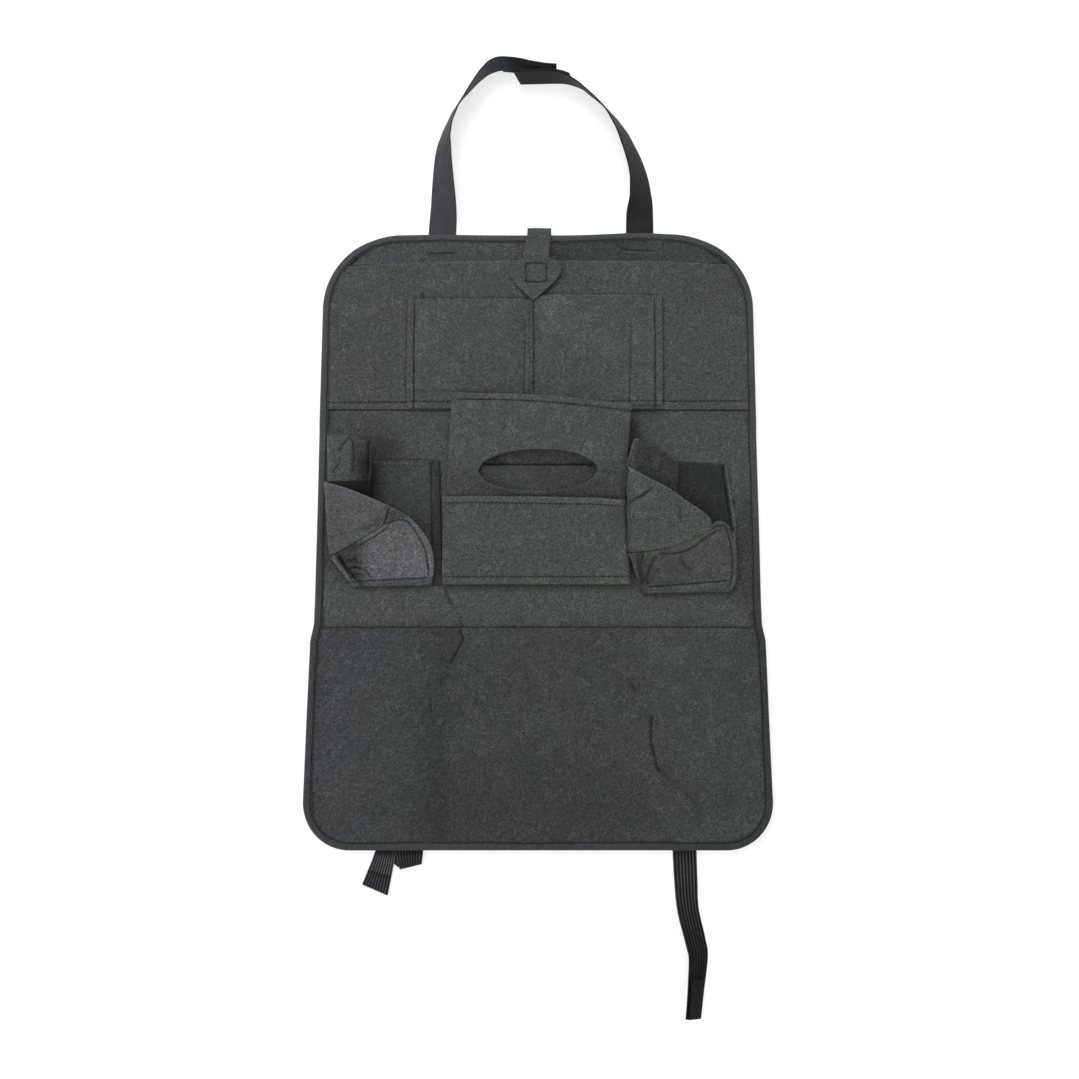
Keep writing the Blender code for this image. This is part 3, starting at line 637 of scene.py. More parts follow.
def plain_tone(x, y, level=1.0):
    """Slow change of colour over the panel: a little bluer at the left and the lower right."""
    left = ease((-x - 90) / 120) * (0.8 + 0.4 * ease((y - 60) / 150))
    left = left + 0.5 * ease((x - 90) / 110) * ease((60 - y) / 200)
    grey = level * (1 + 0.045 * wave(x, y, 60, 71) + 0.02 * wave(x, y, 24, 72))
    return tinge(np.repeat(grey[..., None], 3, -1), left, (0.03, -0.01, 0.07))


def tinted(tone, red, green, blue):
    return tone * np.array([red, green, blue])


def fold_shade(x, y, line, width, depth):
    return dark_line(x, y, line, width * 0.85, min(0.93, 0.2 + 0.3 * abs(depth)))


def contact(d, width, amount):
    """Colour factor of the shade right outside an edge that lies on this layer, d away from it."""
    return 1 - amount * bell(np.maximum(d, 0), width) * ease(d / 0.4 + 1)


def field(xs, ys, height, left=None, right=None):
    """A grid of points over x and y; xs from -1 to 1 when left and right are given."""
    X, Y = np.meshgrid(xs, ys)
    if left is not None:
        X = mix(left(Y), right(Y), (X + 1) / 2)
    return np.stack([X, Y, height(X, Y)], -1)


# Back panel
BACK_FOLD = [(-84, -50), (-79.4, -62.8), (-68.6, -78), (-67, -88)]
# Lines as (points, width, amount): painted shade along folds and edges, dark seams where the
# straps are sewn on, and painted light where the amount is below 0
BACK_LINES = [
    (BACK_FOLD, 1.1, 0.5),
    ([(-105.5, TOP - 16.8), (-76.5, TOP - 16.4)], 0.9, 0.75),
    ([(74, TOP - 8.5), (78, TOP - 12.6), (86, TOP - 13.6), (110.5, TOP - 14.6)], 0.9, 0.6),
    ([(80, TOP - 15.2), (110.5, TOP - 16.4)], 0.8, -0.45),
    ([(171.5, 60), (178.8, 8), (178.2, -20)], 1.0, 0.5),
    ([(-52, FLAP_TOP + 1.8), (52, FLAP_TOP + 1.8)], 2.0, 0.85),
    ([(-149.5, 65), (-96, 65)], 1.0, 0.45),
    ([(-154.6, 82), (-153.6, 66), (-153, 55)], 1.5, 0.88),
    ([(124, 63.4), (171, 60.6)], 1.0, 0.4),
    ([(-89.6, 63), (-85.7, -48)], 1.2, 0.7),
]


def build_back():
    half = PANEL_WIDTH / 2
    marks = [BOTTOM + 1, MAP_TOP + 1.4, GROUP_BOTTOM - 1, FLAP_TOP + 1.6, 64.8, TABLET_BOTTOM - 1]
    marks += [TABLET_TOP - 2, TABLET_TOP + 1.6, TOP - 15.4, TOP - 1]
    ys = spaced(BOTTOM, TOP, 3.3, marks, 0.6, 2.6)
    us = spaced(-half, half, 3.1, (-154, -88.5, -80, -70), 0.95, 5.5) / half
    P = field(us, ys, back_height, lambda y: -half_width(y) - GAP, lambda y: half_width(y) + GAP)
    X, Y = P[..., 0], P[..., 1]
    ripple = 0.3 * crease(X, Y, [(90, -66), (120, -74), (160, -70)], 4.0, 1.0)
    detail = crease(X, Y, BACK_FOLD, 1.4, 1.5) + ripple
    up = FELT / 2 + detail + 0.15 * wave(X, Y, 22, 81)
    # Painted shade on the back inside the left cup
    left = ease((-X - 95) / 20) * ease((TABLET_BOTTOM - Y) / 10) * ease((Y + 60) / 20)
    tone = plain_tone(X, Y, 1 - 0.12 * ease((Y - TABLET_TOP) / 8) - 0.2 * left)
    for line, width, amount in BACK_LINES:
        tone = times(tone, dark_line(X, Y, line, width, amount))
    above = Y - TABLET_TOP - tablet_bow(X)
    top = ease((above + 1) / 2)
    strip = 0.98 - 0.28 * ease((X + 4) / 14) + 0.1 * ease((X - 78) / 40)
    clear = np.abs(X) < half_width(Y) - COVER
    group = np.abs(X) < TISSUE_HALF + 1
    # The strip above the tablet pocket is darker towards the right. Painted shade: contact shadows
    # below the tablet pocket, above the map pocket, above the tablet's top edge and below the
    # tissue group, and shadows beside the left cup's fold and the tissue pocket's right edge. The
    # back is also darker above and right of the right cup
    tone = times(
        tone,
        1 + top * (strip - 1),
        np.where(clear, contact(TABLET_BOTTOM - Y, 1.3, 0.75), 1),
        np.where(clear, contact(Y - MAP_TOP - 0.5, 1.8, 0.75), 1),
        np.where(clear, contact(above - 1.0, 1.4, 0.68), 1),
        np.where(group, contact(GROUP_BOTTOM - Y, 1.2, 0.5), 1),
        1 - 0.6 * spot(X, Y, -143, 70, 18, 19),
        1 - 0.3 * spot(X, Y, -158, 78, 6, 12),
        1 - 0.12 * spot(X, Y, 150, 84, 40, 16),
        1 - 0.34 * ease((X - 172) / 14) * ease((60 - Y) / 50) * ease((Y + 80) / 20),
        1 - 0.42 * bell(X - 86, 7) * ease((Y - 78) / 8) * ease((TABLET_BOTTOM - Y) / 4),
    )
    inside = ease((TISSUE_HALF - 8 - np.abs(X)) / 6) * ease((TABLET_BOTTOM - 12 - Y) / 10)
    tone = tinge(tone, top, (0.0, 0.01, 0.05))
    tone = tinge(tone, spot(X, Y, -138, -68, 36, 12), (0.1, 0.04, 0.09))
    # Painted light, tinted brown, on the back where it shows through the tissue slot
    tone = tinge(tone, inside * ease((Y - FLAP_TOP + 20) / 10), (0.32, 0.3, 0.22))
    obj = cloth("back_panel", P, up=up, tone=tone)
    seams = ((-103.5, -77.4, TOP - 16.6), (76.5, 109.2, TOP - 14.2))
    runs = [sewn(np.linspace(a, b, 20), y, back_height, 0.3) for a, b, y in seams]
    stitches("back_panel_stitches", runs, obj, 3.4, 2.6, 0.34)


# Binding folded round the edge
def binding_low(y):
    run = 12
    over_tablet = ease((TABLET_TOP - y) / run + 2) * ease((y - TABLET_BOTTOM) / run + 2)
    over_map = ease((MAP_TOP - y) / run + 2)
    return BACK_TOP + GAP + LAYER * np.maximum(over_tablet, over_map)


def outline_ring(step):
    points, spokes = [], []
    count = len(OUTLINE)
    for k in range(count):
        a, b = OUTLINE[k], OUTLINE[(k + 1) % count]
        pieces = max(1, round(np.linalg.norm(b - a) / step))
        for i in range(pieces):
            t = i / pieces
            points.append(mix(a, b, t))
            spoke = mix(SPOKES[k], SPOKES[(k + 1) % count], t)
            spokes.append(spoke / np.linalg.norm(spoke))
    return np.array(points), np.array(spokes)


def build_binding():
    points, spokes = outline_ring(3.0)
    along = np.arange(len(points)) * 1.0
    x, y = points[:, 0], points[:, 1]
    foot = BACK_MID - FELT / 2 - GAP
    leg = binding_low(y)
    lift = panel_wave(x, y)
    bulge = ease((y - TOP + 20) / 20) * (2.3 * bell(x - 93, 38) + 0.7 * bell(x + 90, 32))
    cover = COVER + 0.25 * np.sin(along / 9.0) + 0.2 * np.sin(along / 3.7 + 1)
    top = leg + TAPE
    # The tape's section, as reach out of the outline and height; rows 7 to 9 lie in the seam
    seam_rows, seam_groove_shade = slice(7, 10), 0.45
    section = [
        (-COVER, foot),
        (GAP * 0.5, foot),
        (GAP, mix(foot, leg, 0.5)),
        (GAP * 0.5, leg),
        (0.5 - cover, leg),
        (0.45 - cover, leg + 0.25),
        (0.7 - cover, top - 0.42),
        (1.1 - cover, top - 0.4),
        (1.5 - cover, top - 0.62),
        (1.95 - cover, top - 0.6),
        (2.5 - cover, top + 0.05),
        (3.6 - cover, top + 0.15),
        (-1.6, top + 0.05),
        (-0.2, top - 0.25),
        (0.75, top - 0.95),
        (GAP + TAPE, mix(foot, leg, 0.62)),
        (GAP + TAPE, mix(foot, leg, 0.3)),
        (0.75, foot - 0.1),
        (-0.1, foot - 0.7),
        (-1.2, foot - TAPE),
        (-COVER, foot - TAPE),
    ]
    rows = []
    for out, z in section:
        place = [x + spokes[:, 0] * out, y + spokes[:, 1] * out + bulge, z + lift]
        rows.append(np.column_stack(place))
    size, count = len(rows), len(points)
    verts = np.stack(rows, 1).reshape(-1, 3)
    faces = []
    for k in range(count):
        a, b = k * size, (k + 1) % count * size
        for i in range(size):
            j = (i + 1) % size
            faces.append((a + i, a + j, b + j, b + i))
    vx, vy = verts[:, 0], verts[:, 1]
    level = 1.0 + 0.3 * ease((vy + 60) / 130)
    level = level - 0.17 * ease((vx - 100) / 60) * ease((-vy - 20) / 80)
    tone = plain_tone(vx, vy, level).reshape(count, size, 3)
    # Painted shade in the seam's groove
    tone[:, seam_rows] *= seam_groove_shade
    obj = make_piece("edge_binding_tape", verts, faces, TAPE_LOOK, tone.reshape(-1, 3), angle=75)
    stand_in(obj, "edge_binding")
    seam = cover - 1.7
    line = [x - spokes[:, 0] * seam, y - spokes[:, 1] * seam + bulge, top + lift - 0.5]
    line = np.column_stack(line)
    stitches("edge_binding_stitches", [np.vstack([line, line[:1]])], obj, 3.8, 3.0, 0.36)


# Pockets across the panel
def hem_line(x):
    return TABLET_BOTTOM + HEM_RISE + 0.004 * x


def slanted(u):
    """The tissue pocket's top edge over its width, u from 0 to 1."""
    return TISSUE_TOP - TISSUE_SLANT * u**1.6


def tissue_top(x):
    """Height of the tissue pocket's top edge on the panel."""
    return slanted(np.clip((x + TISSUE_HALF) / (2 * TISSUE_HALF), 0, 1))


def build_tablet():
    tops = [phone[2] + PHONE_BOTTOM + 3 for phone in (PHONE_LEFT, PHONE_RIGHT)]
    ys = spaced(TABLET_BOTTOM, TABLET_TOP, 2.4, (TABLET_BOTTOM + HEM_RISE, *tops, TABLET_TOP - 1.2))
    P = field(np.linspace(-1, 1, 190), ys, tablet_height, lambda y: -half_width(y), half_width)
    P[..., 1] += tablet_bow(P[..., 0]) * ease((P[..., 1] - TABLET_TOP + 24) / 24)
    X, Y = P[..., 0], P[..., 1]
    hem = Y - hem_line(X)
    up = FELT / 2 + groove(hem) + 0.12 * wave(X, Y, 16, 82) + 0.25 * wave(X, Y, 46, 83)
    level = 0.9 + 0.03 * ease(X / 60) - 0.03 * ease(-X / 60)
    level = level + 0.13 * bell(X + 62, 42) * ease((Y - 210) / 10)
    level = level - 0.1 * ease((X - 112) / 20) * ease((Y - 190) / 40)
    left, corner = PHONE_LEFT[0], PHONE_BOTTOM + PHONE_LEFT[2]
    seam = [(left + CORNER_SEAM[0], corner + 9), (left + CORNER_SEAM[1], corner - 2)]
    over_tissue = ease((TISSUE_HALF + 3 - np.abs(X)) / 3)
    # Dark hem seam, painted light along the top edge, the dark corner seam, and painted shadow
    # right above the tissue pocket's top edge
    tone = times(
        plain_tone(X, Y, level),
        1 - 0.3 * bell(hem, 0.9) + 0.1 * ease(Y - TABLET_TOP - tablet_bow(X) + 2),
        dark_line(X, Y, seam, 1.3, 0.75),
        mix(1, contact(Y - tissue_top(X) - 2.2, 1.8, 0.55), over_tissue),
    )
    # Painted shadow beside the phone pockets' outer edges and right above their tops
    beside = (Y > PHONE_BOTTOM) & (Y < PHONE_BOTTOM + 100)
    for side, amount in ((left - 0.8, 0.35), (PHONE_RIGHT[1] + 0.8, 0.65)):
        tone = times(tone, 1 - amount * beside * bell(X - side, 1.1))
    for left, right, depth in (PHONE_LEFT, PHONE_RIGHT):
        inner = ease((X - left - 10) / 4) * ease((right - X) / 2)
        tone = times(tone, mix(1, contact(Y - PHONE_BOTTOM - depth - 2.2, 1.3, 0.55), inner))
    obj = cloth("tablet_pocket", P, up=up, tone=tone)
    reach = half_width(TABLET_BOTTOM) - 9
    x = np.linspace(-reach, reach, 200)
    run = sewn(x, hem_line(x), tablet_height, 0.35)
    stitches("tablet_pocket_stitches", [run], obj, 3.6, 2.5, 0.36)


# Creases as (points, width, depth)
MAP_FOLDS = [
    ([(-68.6, -89), (-66.1, -98.9), (-77.4, -120.9)], 1.3, 2.4),
    ([(-84.3, -130.5), (-84.6, -139)], 1.1, 1.7),
    ([(-93.7, -149.5), (-94, -162)], 1.2, 1.8),
    ([(82.6, -137), (85.6, -146)], 1.2, 2.0),
    ([(99.8, -164), (98.4, -186), (103.6, -210), (107, -214)], 2.0, 2.5),
    ([(103, -208), (118, -223), (137.8, -240), (141, -264)], 3.2, 1.1),
    ([(104, -212), (126, -218), (152, -206)], 6.0, -0.7),
    ([(-96, -236), (-90, -262), (-92, -275)], 3.0, 0.5),
]


def build_map():
    low, half = BOTTOM + GAP, 202
    ys = spaced(low, MAP_TOP, 2.1, (low + 1.5, MAP_TOP - 1.2), 0.5, 2.5)
    us = spaced(-half, half, 2.1, (-72, -84.5, -94, 84, 100), 0.8, 5.0) / half
    P = field(us, ys, map_height, lambda y: -half_width(y), half_width)
    X, Y = P[..., 0], P[..., 1]
    up = FELT / 2 + 0.14 * wave(X, Y, 15, 84) + 0.5 * wave(X, Y, 55, 85)
    cool = ease((-X - 60) / 50) + 0.6 * ease((X - 90) / 60)
    tone = tinge(plain_tone(X, Y, 0.69 + 0.09 * ease((X - 60) / 60)), cool, (0.02, 0.0, 0.09))
    # Creases, with painted shade along the narrow ones
    for line, width, depth in MAP_FOLDS:
        up = up + crease(X, Y, line, width, depth)
        if width < 2.5:
            tone = times(tone, fold_shade(X, Y, line, width * 0.8, depth * 0.7))
    # Painted glints of glossy fibres at the lower left, painted shade in a band along the creases
    # at the left and beside and along the soft fold at the right, and darker towards the bottom
    # middle
    fibre_glints = wave(X, Y * 3.0, 9, 101) * ease((-X - 60) / 30) * ease((Y + 262) / 20)
    tone = times(
        tone,
        1 + 0.14 * fibre_glints,
        1 - 0.19 * bell(X + 87, 17),
        1 - 0.14 * spot(X, Y, 114, -212, 10, 26),
        1 - 0.13 * bell(X, 120) * ease((-Y - 170) / 60),
        dark_line(X, Y, [(104, -210), (118, -223), (137.8, -240), (141, -262)], 1.5, 0.3),
    )
    cloth("map_pocket", P, up=np.maximum(up, 0.3), tone=tone)


def build_phone(node, left, right, depth, seams, shades, pleat, dark, level):
    def height(x, y):
        return phone_height(x, y, left, right)

    top = PHONE_BOTTOM + depth
    xs = spaced(left, right, 2.0, [*seams, pleat])
    ys = spaced(TABLET_BOTTOM + 0.4, top, 2.0, (TABLET_BOTTOM + HEM_RISE, top - 1.2))
    P = field(xs, ys, height)
    X, Y = P[..., 0], P[..., 1]
    hem = Y - hem_line(X)
    beyond = X - pleat - 0.02 * (Y - 160)
    crinkle = ease((top - 22 - Y) / 6)
    up = FELT / 2 + 0.12 * wave(X, Y, 14, 86) + 0.3 * wave(X, Y, 40, 87)
    up = up + groove(beyond, 0.6, 0.9) * ease((top - 12 - Y) / 20)
    # Dark hem seam and centre seam, painted shade in the pleat's fold with painted light beside it,
    # and painted shadow right above the tissue pocket's top edge
    tone = times(
        plain_tone(X, Y, level),
        1 - 0.3 * bell(hem, 0.9),
        1 - 0.62 * bell(X - dark, 1.1),
        1 - 0.4 * crinkle * bell(beyond, 0.9),
        1 + 0.1 * crinkle * ease(beyond / 1.5) * (1 - ease((X - pleat - 22) / 6)),
        contact(Y - tissue_top(X) - 2.2, 1.8, 0.55),
    )
    for s, amount in zip(seams, shades):
        up = up + groove(X - s, 0.2 + 0.5 * amount, 0.8)
        tone = times(tone, 1 - amount * ease((top - 2 - Y) / 10) * bell(X - s, 0.9))
    obj = cloth(node, P, up=up + groove(hem), tone=tone)
    y = np.linspace(PHONE_BOTTOM + 2, top - 1.5, 60)
    runs = [sewn(s + 0 * y, y, height, 0.35) for s in seams]
    y = np.minimum(np.linspace(top + 3, top - 7, 6), top - 1)
    x = np.linspace(left + CORNER_SEAM[0], left + CORNER_SEAM[1], 6)
    runs.append(sewn(x, y, height, 0.2))
    x = np.linspace(left + 2, right - 2, 60)
    runs.append(sewn(x, hem_line(x), height, 0.35))
    stitches(node + "_stitches", runs, obj, 3.6, 2.5, 0.38)


# Tissue pocket with its slot, and what is inside it
def tissue_edge():
    """Points round the tissue panel's outer edge, counterclockwise from its lower left."""
    v, u = np.linspace(0, 1, 200), np.linspace(1, 0, 200)
    y_low = np.full(200, GROUP_BOTTOM)
    y_right = mix(GROUP_BOTTOM, TISSUE_TOP - TISSUE_SLANT, v)
    y_top = slanted(u)
    y_left = mix(TISSUE_TOP, GROUP_BOTTOM, v)
    sides = []
    for x, y, count in (
        (mix(tissue_left(y_low), tissue_right(y_low), v), y_low, 80),
        (tissue_right(y_right), y_right, 84),
        (mix(tissue_left(y_top), tissue_right(y_top), u), y_top, 82),
        (tissue_left(y_left), y_left, 86),
    ):
        along = way_along(np.column_stack([x, y]))
        at = np.linspace(0, along[-1], count, endpoint=False)
        sides.append(np.column_stack([np.interp(at, along, x), np.interp(at, along, y)]))
    return np.vstack(sides)


def build_tissue():
    outer = tissue_edge()
    centre = np.array([0.0, SLOT_Y])
    way = outer - centre
    phi = np.arctan2(way[:, 1] / SLOT_RISE, way[:, 0] / SLOT_HALF)
    inner = centre + np.column_stack([SLOT_HALF * np.cos(phi), SLOT_RISE * np.sin(phi)])
    s = [[0, 0.006, 0.014, 0.026], np.linspace(0.045, 0.955, 44), [0.972, 0.985, 1.0]]
    s = np.concatenate(s)[:, None, None]
    # Rows run outward and columns clockwise, so that the skin faces the front
    xy = (inner[None] + (outer - inner)[None] * s)[:, ::-1]
    X, Y = xy[..., 0], xy[..., 1]
    P = np.stack([X, Y, tissue_height(X, Y)], -1)
    width = tissue_right(Y) - tissue_left(Y)
    hem = slanted(np.clip((X - tissue_left(Y)) / width, 0, 1)) - Y
    up = FELT / 2 + 0.12 * wave(X, Y, 13, 88) + 0.3 * wave(X, Y, 38, 89)
    up = up + 0.55 * ease((5.6 - hem) / 1.2) + groove(hem - 5.4, 0.6, 0.9)
    lip = np.hypot((X - centre[0]) / SLOT_HALF, (Y - centre[1]) / SLOT_RISE)
    P[..., 2] += 0.9 * bell(lip - 1, 0.12) * (Y < centre[1])
    covered = (Y - CENTER_TOP) * np.where(Y > CENTER_TOP - 4, 1, 99)
    # Darker in its lower part and along the hem seam, painted shadow right above the centre
    # pocket's top edge and along the right edge, and a painted highlight on the slot's lower rim
    tone = times(
        tinted(plain_tone(X, Y, 1.02 - 0.25 * ease((72 - Y) / 20)), 0.99, 0.99, 0.96),
        1 - 0.45 * bell(hem - 5.6, 0.8),
        contact(np.abs(covered) - 0.5, 1.6, 0.4),
        1 - 0.42 * bell(tissue_right(Y) - X, 4) * ease((92 - Y) / 20),
        1 + 0.25 * bell(lip - 1.045, 0.03) * (Y < centre[1] + 2),
    )
    obj = cloth("tissue_panel", P, up=up, tone=tone, closed=True)
    u = np.linspace(0.02, 0.985, 120)
    y = slanted(u) - 5.2
    run = sewn(mix(tissue_left(y), tissue_right(y), u), y, tissue_height, 0.25)
    stitches("tissue_panel_stitches", [run], obj, 3.6, 2.5, 0.42)


def build_flap():
    def height(x, y):
        return BACK_MID + LAYER + 3.4 * ease((y - CENTER_TOP + 14) / 43) + panel_wave(x, y)

    def left(y):
        return tissue_left(y) + MARGIN

    ys = spaced(GROUP_BOTTOM, FLAP_TOP, 2.5, (FLAP_TOP - 1,))
    P = field(np.linspace(-1, 1, 60), ys, height, left, lambda y: tissue_right(y) - MARGIN)
    X, Y = P[..., 0], P[..., 1]
    tone = tinted(plain_tone(X, Y, 0.72), 1.0, 1.01, 0.95)
    cloth("tissue_flap", P, up=FELT / 2 + 0.1 * wave(X, Y, 14, 90), tone=tone)


def build_gusset(node, edge, inward, low, high):
    a, y = np.meshgrid(np.linspace(0, 1, 14), np.linspace(low, high, 30))
    x_edge = edge(y)
    roof = tissue_height(x_edge, y) - LAYER
    floor = BACK_MID + LAYER + panel_wave(x_edge, y)
    x = x_edge + inward * (1 + 7 * np.sin(math.pi * a) * (1 + 0.08 * np.sin(y / 5)))
    cloth(node, np.stack([x, y, mix(floor, roof, a)], -1), tone=plain_tone(x, y))


def build_center():
    left = -TISSUE_HALF - 3

    def y_top(u):
        return CENTER_TOP - 3 * u

    wide, high, hem_seam, foot_seam = 168, 78, 5.2, 6.2
    us = spaced(0, wide, 2.2, (3.5, wide - 3.5)) / wide
    vs = spaced(0, high, 2.0, (foot_seam, 72.6, high - 1)) / high
    U, V = np.meshgrid(us, vs)
    Y = mix(GROUP_BOTTOM, y_top(U), V)
    X = mix(left, tissue_right(Y), U)
    P = np.stack([X, Y, center_height(X, Y)], -1)
    hem = y_top(U) - Y
    foot = Y - GROUP_BOTTOM
    up = FELT / 2 + 0.12 * wave(X, Y, 14, 91) + 0.3 * wave(X, Y, 42, 92)
    up = up + 0.5 * ease((5.6 - hem) / 1.2) + groove(hem - hem_seam, 0.5, 1.0)
    up = up + groove(foot - foot_seam, 0.5, 0.9)
    # Painted light along the hem and the bottom edge, lighter right of the middle, dark seam lines,
    # and painted shadow along the right edge
    level = 0.97 + 0.14 * ease((4.8 - hem) / 1.2) + 0.1 * ease((1.2 - foot) / 0.8)
    tone = times(
        tinted(plain_tone(X, Y, level), 1.0, 1.0, 0.96),
        1 + 0.12 * bell(X - 66, 18),
        1 - 0.14 * bell(hem - 5.4, 0.8),
        1 - 0.5 * bell(tissue_right(Y) - X, 1.8) * ease((44 - Y) / 12),
        1 - 0.35 * bell(foot - foot_seam, 0.8),
    )
    obj = cloth("center_pocket", P, up=up, tone=tone)
    u = np.linspace(0.02, 0.98, 120)
    for row, y, length, radius in (
        ("hem", y_top(u) - hem_seam, 1.8, 0.66),
        ("seam", GROUP_BOTTOM + foot_seam + 0 * u, 2.8, 0.3),
    ):
        run = sewn(mix(left, tissue_right(y), u), y, center_height, 0.3)
        stitches(f"center_pocket_{row}_stitches", [run], obj, 3.6, length, radius)


# Cup pockets, folded flat. A wall's list gives its tops and feet as (x, y, height over the back).
# ARC and BASE are the turned-up floor's outline in the same form. INNER, UNDER and FOOT are the
# seams on it and FOLDS its creases as (points, width, depth). SIDE gives the left and the right
# edge of the felt that joins the pocket to the back, and SIDE_SEAM the seam on that felt
LEFT_WALL = [
    ((-191.4, 87.9, 0), (-187, -17, 0)),
    ((-180, 87.2, 0.6), (-180, -14, 0)),
    ((-170.9, 86.4, 1.4), (-172, -10, 0)),
    ((-160.5, 83.8, -1.0), (-163, -6, 0)),
    ((-153.8, 79.5, -1.9), (-158, -3, 0.6)),
    ((-151.2, 72, -1.7), (-154, 0, 1.6)),
    ((-150.8, 62, 1.6), (-153.2, 0, 2.6)),
    ((-151.2, 50, 3.8), (-153.5, 0, 3.0)),
    ((-154.5, 45.2, 2.8), (-157, -3, 2.6)),
    ((-170, 44.6, 2.7), (-170, -10, 2.6)),
    ((-185, 44.0, 3.4), (-181, -16, 3.2)),
    ((-190.8, 43.4, 5), (-185, -19.5, 5)),
    ((-190.6, 42.2, 7.8), (-184, -22.3, 6.6)),
    ((-180.5, 38.8, 10.6), (-172, -16.6, 8)),
    ((-168.4, 34.7, 12.2), (-160.4, -10.0, 8.8)),
    ((-148.9, 26.7, 12.6), (-148.4, -3.0, 9.4)),
    ((-129.4, 17.7, 12.0), (-136.3, 4.9, 9.4)),
    ((-122, 13.9, 11), (-125.8, 10.4, 9)),
    ((-117.7, 11.5, 10.2), (-118.6, 11.0, 8.8)),
]
LEFT_ARC = [
    (-184.2, -25.4, 6.0), (-173.5, -19.6, 7.2), (-160.5, -11.5, 8), (-148.4, -4.4, 8.4),
    (-136.4, 3.6, 8.6), (-132.7, 8.2, 8.8), (-125.4, 12.1, 8.8), (-118.1, 11.4, 8.4),
    (-111.9, 6.9, 7.8), (-103, -3.3, 7),
    (-95.9, -16.2, 6), (-93.6, -29.4, 4.8), (-94.2, -41, 3.8), (-95.2, -48.6, 3),
]
LEFT_BASE = ((-164.6, -50.4, 2.6), (-95.6, -49.1, 2.6))
LEFT_INNER = [
    (-135.6, 4.3), (-125.3, 8.2), (-118, 7.3), (-111.8, 1.4),
    (-104.4, -10.6), (-99.1, -23.8), (-97.7, -33.9), (-97.7, -43.6),
]
LEFT_UNDER = [(-160, -15.6), (-148, -8.4), (-136.5, -0.8), (-134.6, 3.4)]
LEFT_FOOT = [(-165.1, -46.6), (-160.6, -46.4), (-96.9, -43.2)]
LEFT_FOLDS = [
    ([(-170.5, -36), (-161.9, -34.1), (-153, -37), (-148.2, -43.5)], 1.1, 1.5),
    ([(-166.8, -40.6), (-158.7, -39.9), (-153.4, -43)], 0.9, 1.1),
    ([(-178.2, -23.4), (-173.8, -29), (-168.2, -37), (-162.4, -45.4)], 1.5, 2.6),
    ([(-177.2, -24.2), (-175.2, -27.4), (-172.8, -31)], 2.4, 2.4),
    ([(-169, -29), (-163, -27.5), (-158, -32)], 1.6, 0.9),
    ([(-100.5, -23), (-97.8, -36)], 1.4, 0.8),
]
LEFT_SIDE = ([(-150, -48.7), (-151.4, 63.4)], [(-86.3, -48.7), (-90.2, 63.8)])
LEFT_SIDE_SEAM = [(-97.2, 62), (-94.3, -46)]
RIGHT_WALL = [
    ((82.5, 80, 0), (82.5, -36, 0)),
    ((97, 78.2, 0), (96, -36, 0)),
    ((114, 68.6, 0), (112, -35, 0)),
    ((124.3, 61, 0.8), (117.5, -33, 0.6)),
    ((126.4, 60.2, 2.2), (119.5, -31, 1.6)),
    ((124.4, 62.4, 3.6), (117, -29, 2.6)),
    ((106.3, 75.6, 3.4), (102, -27, 2.7)),
    ((96.2, 80.4, 3.6), (92, -25, 2.9)),
    ((87.8, 83.0, 4.2), (86.5, -24, 3.2)),
    ((84.0, 71.5, 5.2), (83.6, -22.5, 4.2)),
    ((81.0, 62.5, 6.4), (82.0, -20.5, 5.4)),
    ((80.0, 57.6, 8.2), (80.9, -19.6, 6.6)),
    ((81.8, 55.8, 10.0), (82.4, -19.9, 7.6)),
    ((91, 49.9, 11.8), (93.3, -19.5, 8.6)),
    ((110.2, 39.4, 12.6), (111.1, -17.4, 9.4)),
    ((120.4, 33.5, 12.6), (125.9, -13.7, 9.4)),
    ((133.6, 23.5, 12.4), (140.8, -6.9, 9.4)),
    ((146.8, 14.6, 11.6), (151.3, -2.3, 9)),
    ((153.6, 8.3, 10.6), (155.0, 1.6, 8.8)),
]
RIGHT_ARC = [
    (81.4, -21.9, 6.4), (93.3, -20.9, 7.6), (111.1, -18.8, 8.4), (126, -15.0, 8.6),
    (140.9, -8.4, 8.6), (151.3, -3.4, 8.6), (156.7, 3.6, 8.6), (161.2, 6.7, 8.4), (166.5, 5.4, 8),
    (170.6, 1.2, 7.4), (175.4, -7.4, 6.8), (176.2, -21.9, 5.8), (176, -39.8, 4.4),
    (172.6, -54.2, 3),
]
RIGHT_BASE = ((93.6, -56.6, 2.6), (172.2, -55.3, 2.6))
RIGHT_INNER = [
    (152, -3), (158.9, 2), (167, 2.6), (169.3, -3),
    (172.1, -14.8), (173.2, -29.4), (172, -44.1), (169.5, -53),
]
RIGHT_UNDER = [(106, -22.6), (124.8, -21.6), (137.8, -16.6), (150, -8), (161, -1)]
RIGHT_FOOT = [(96.5, -51.6), (124.5, -49.6), (161.6, -46.6), (170.6, -46)]
RIGHT_FOLDS = [
    ([(89, -22), (89.7, -34.2), (92.7, -50.2)], 1.0, 1.9),
    ([(93.4, -21), (91.6, -34.2), (94.6, -48.5)], 1.0, 1.9),
    ([(105.2, -24), (100.7, -32.8), (96.6, -42.9), (97.8, -50.2)], 1.4, 1.3),
    ([(126, -26), (131, -33), (138.5, -37.5)], 1.6, 0.7),
    ([(171.5, 2), (174.4, -10)], 1.2, 0.9),
]
RIGHT_SIDE = ([(121, -53), (126.3, 62.4)], [(176, -53), (177.9, 5), (170.8, 59.5)])
RIGHT_SIDE_SEAM = [(166.7, 58), (173, 7.3)]


def lifted(points):
    """Panel points with their height over the back's layer."""
    p = np.array(points, float).reshape(-1, 3)
    return np.column_stack([p[:, :2], BACK_MID + LAYER + p[:, 2] + panel_wave(p[:, 0], p[:, 1])])


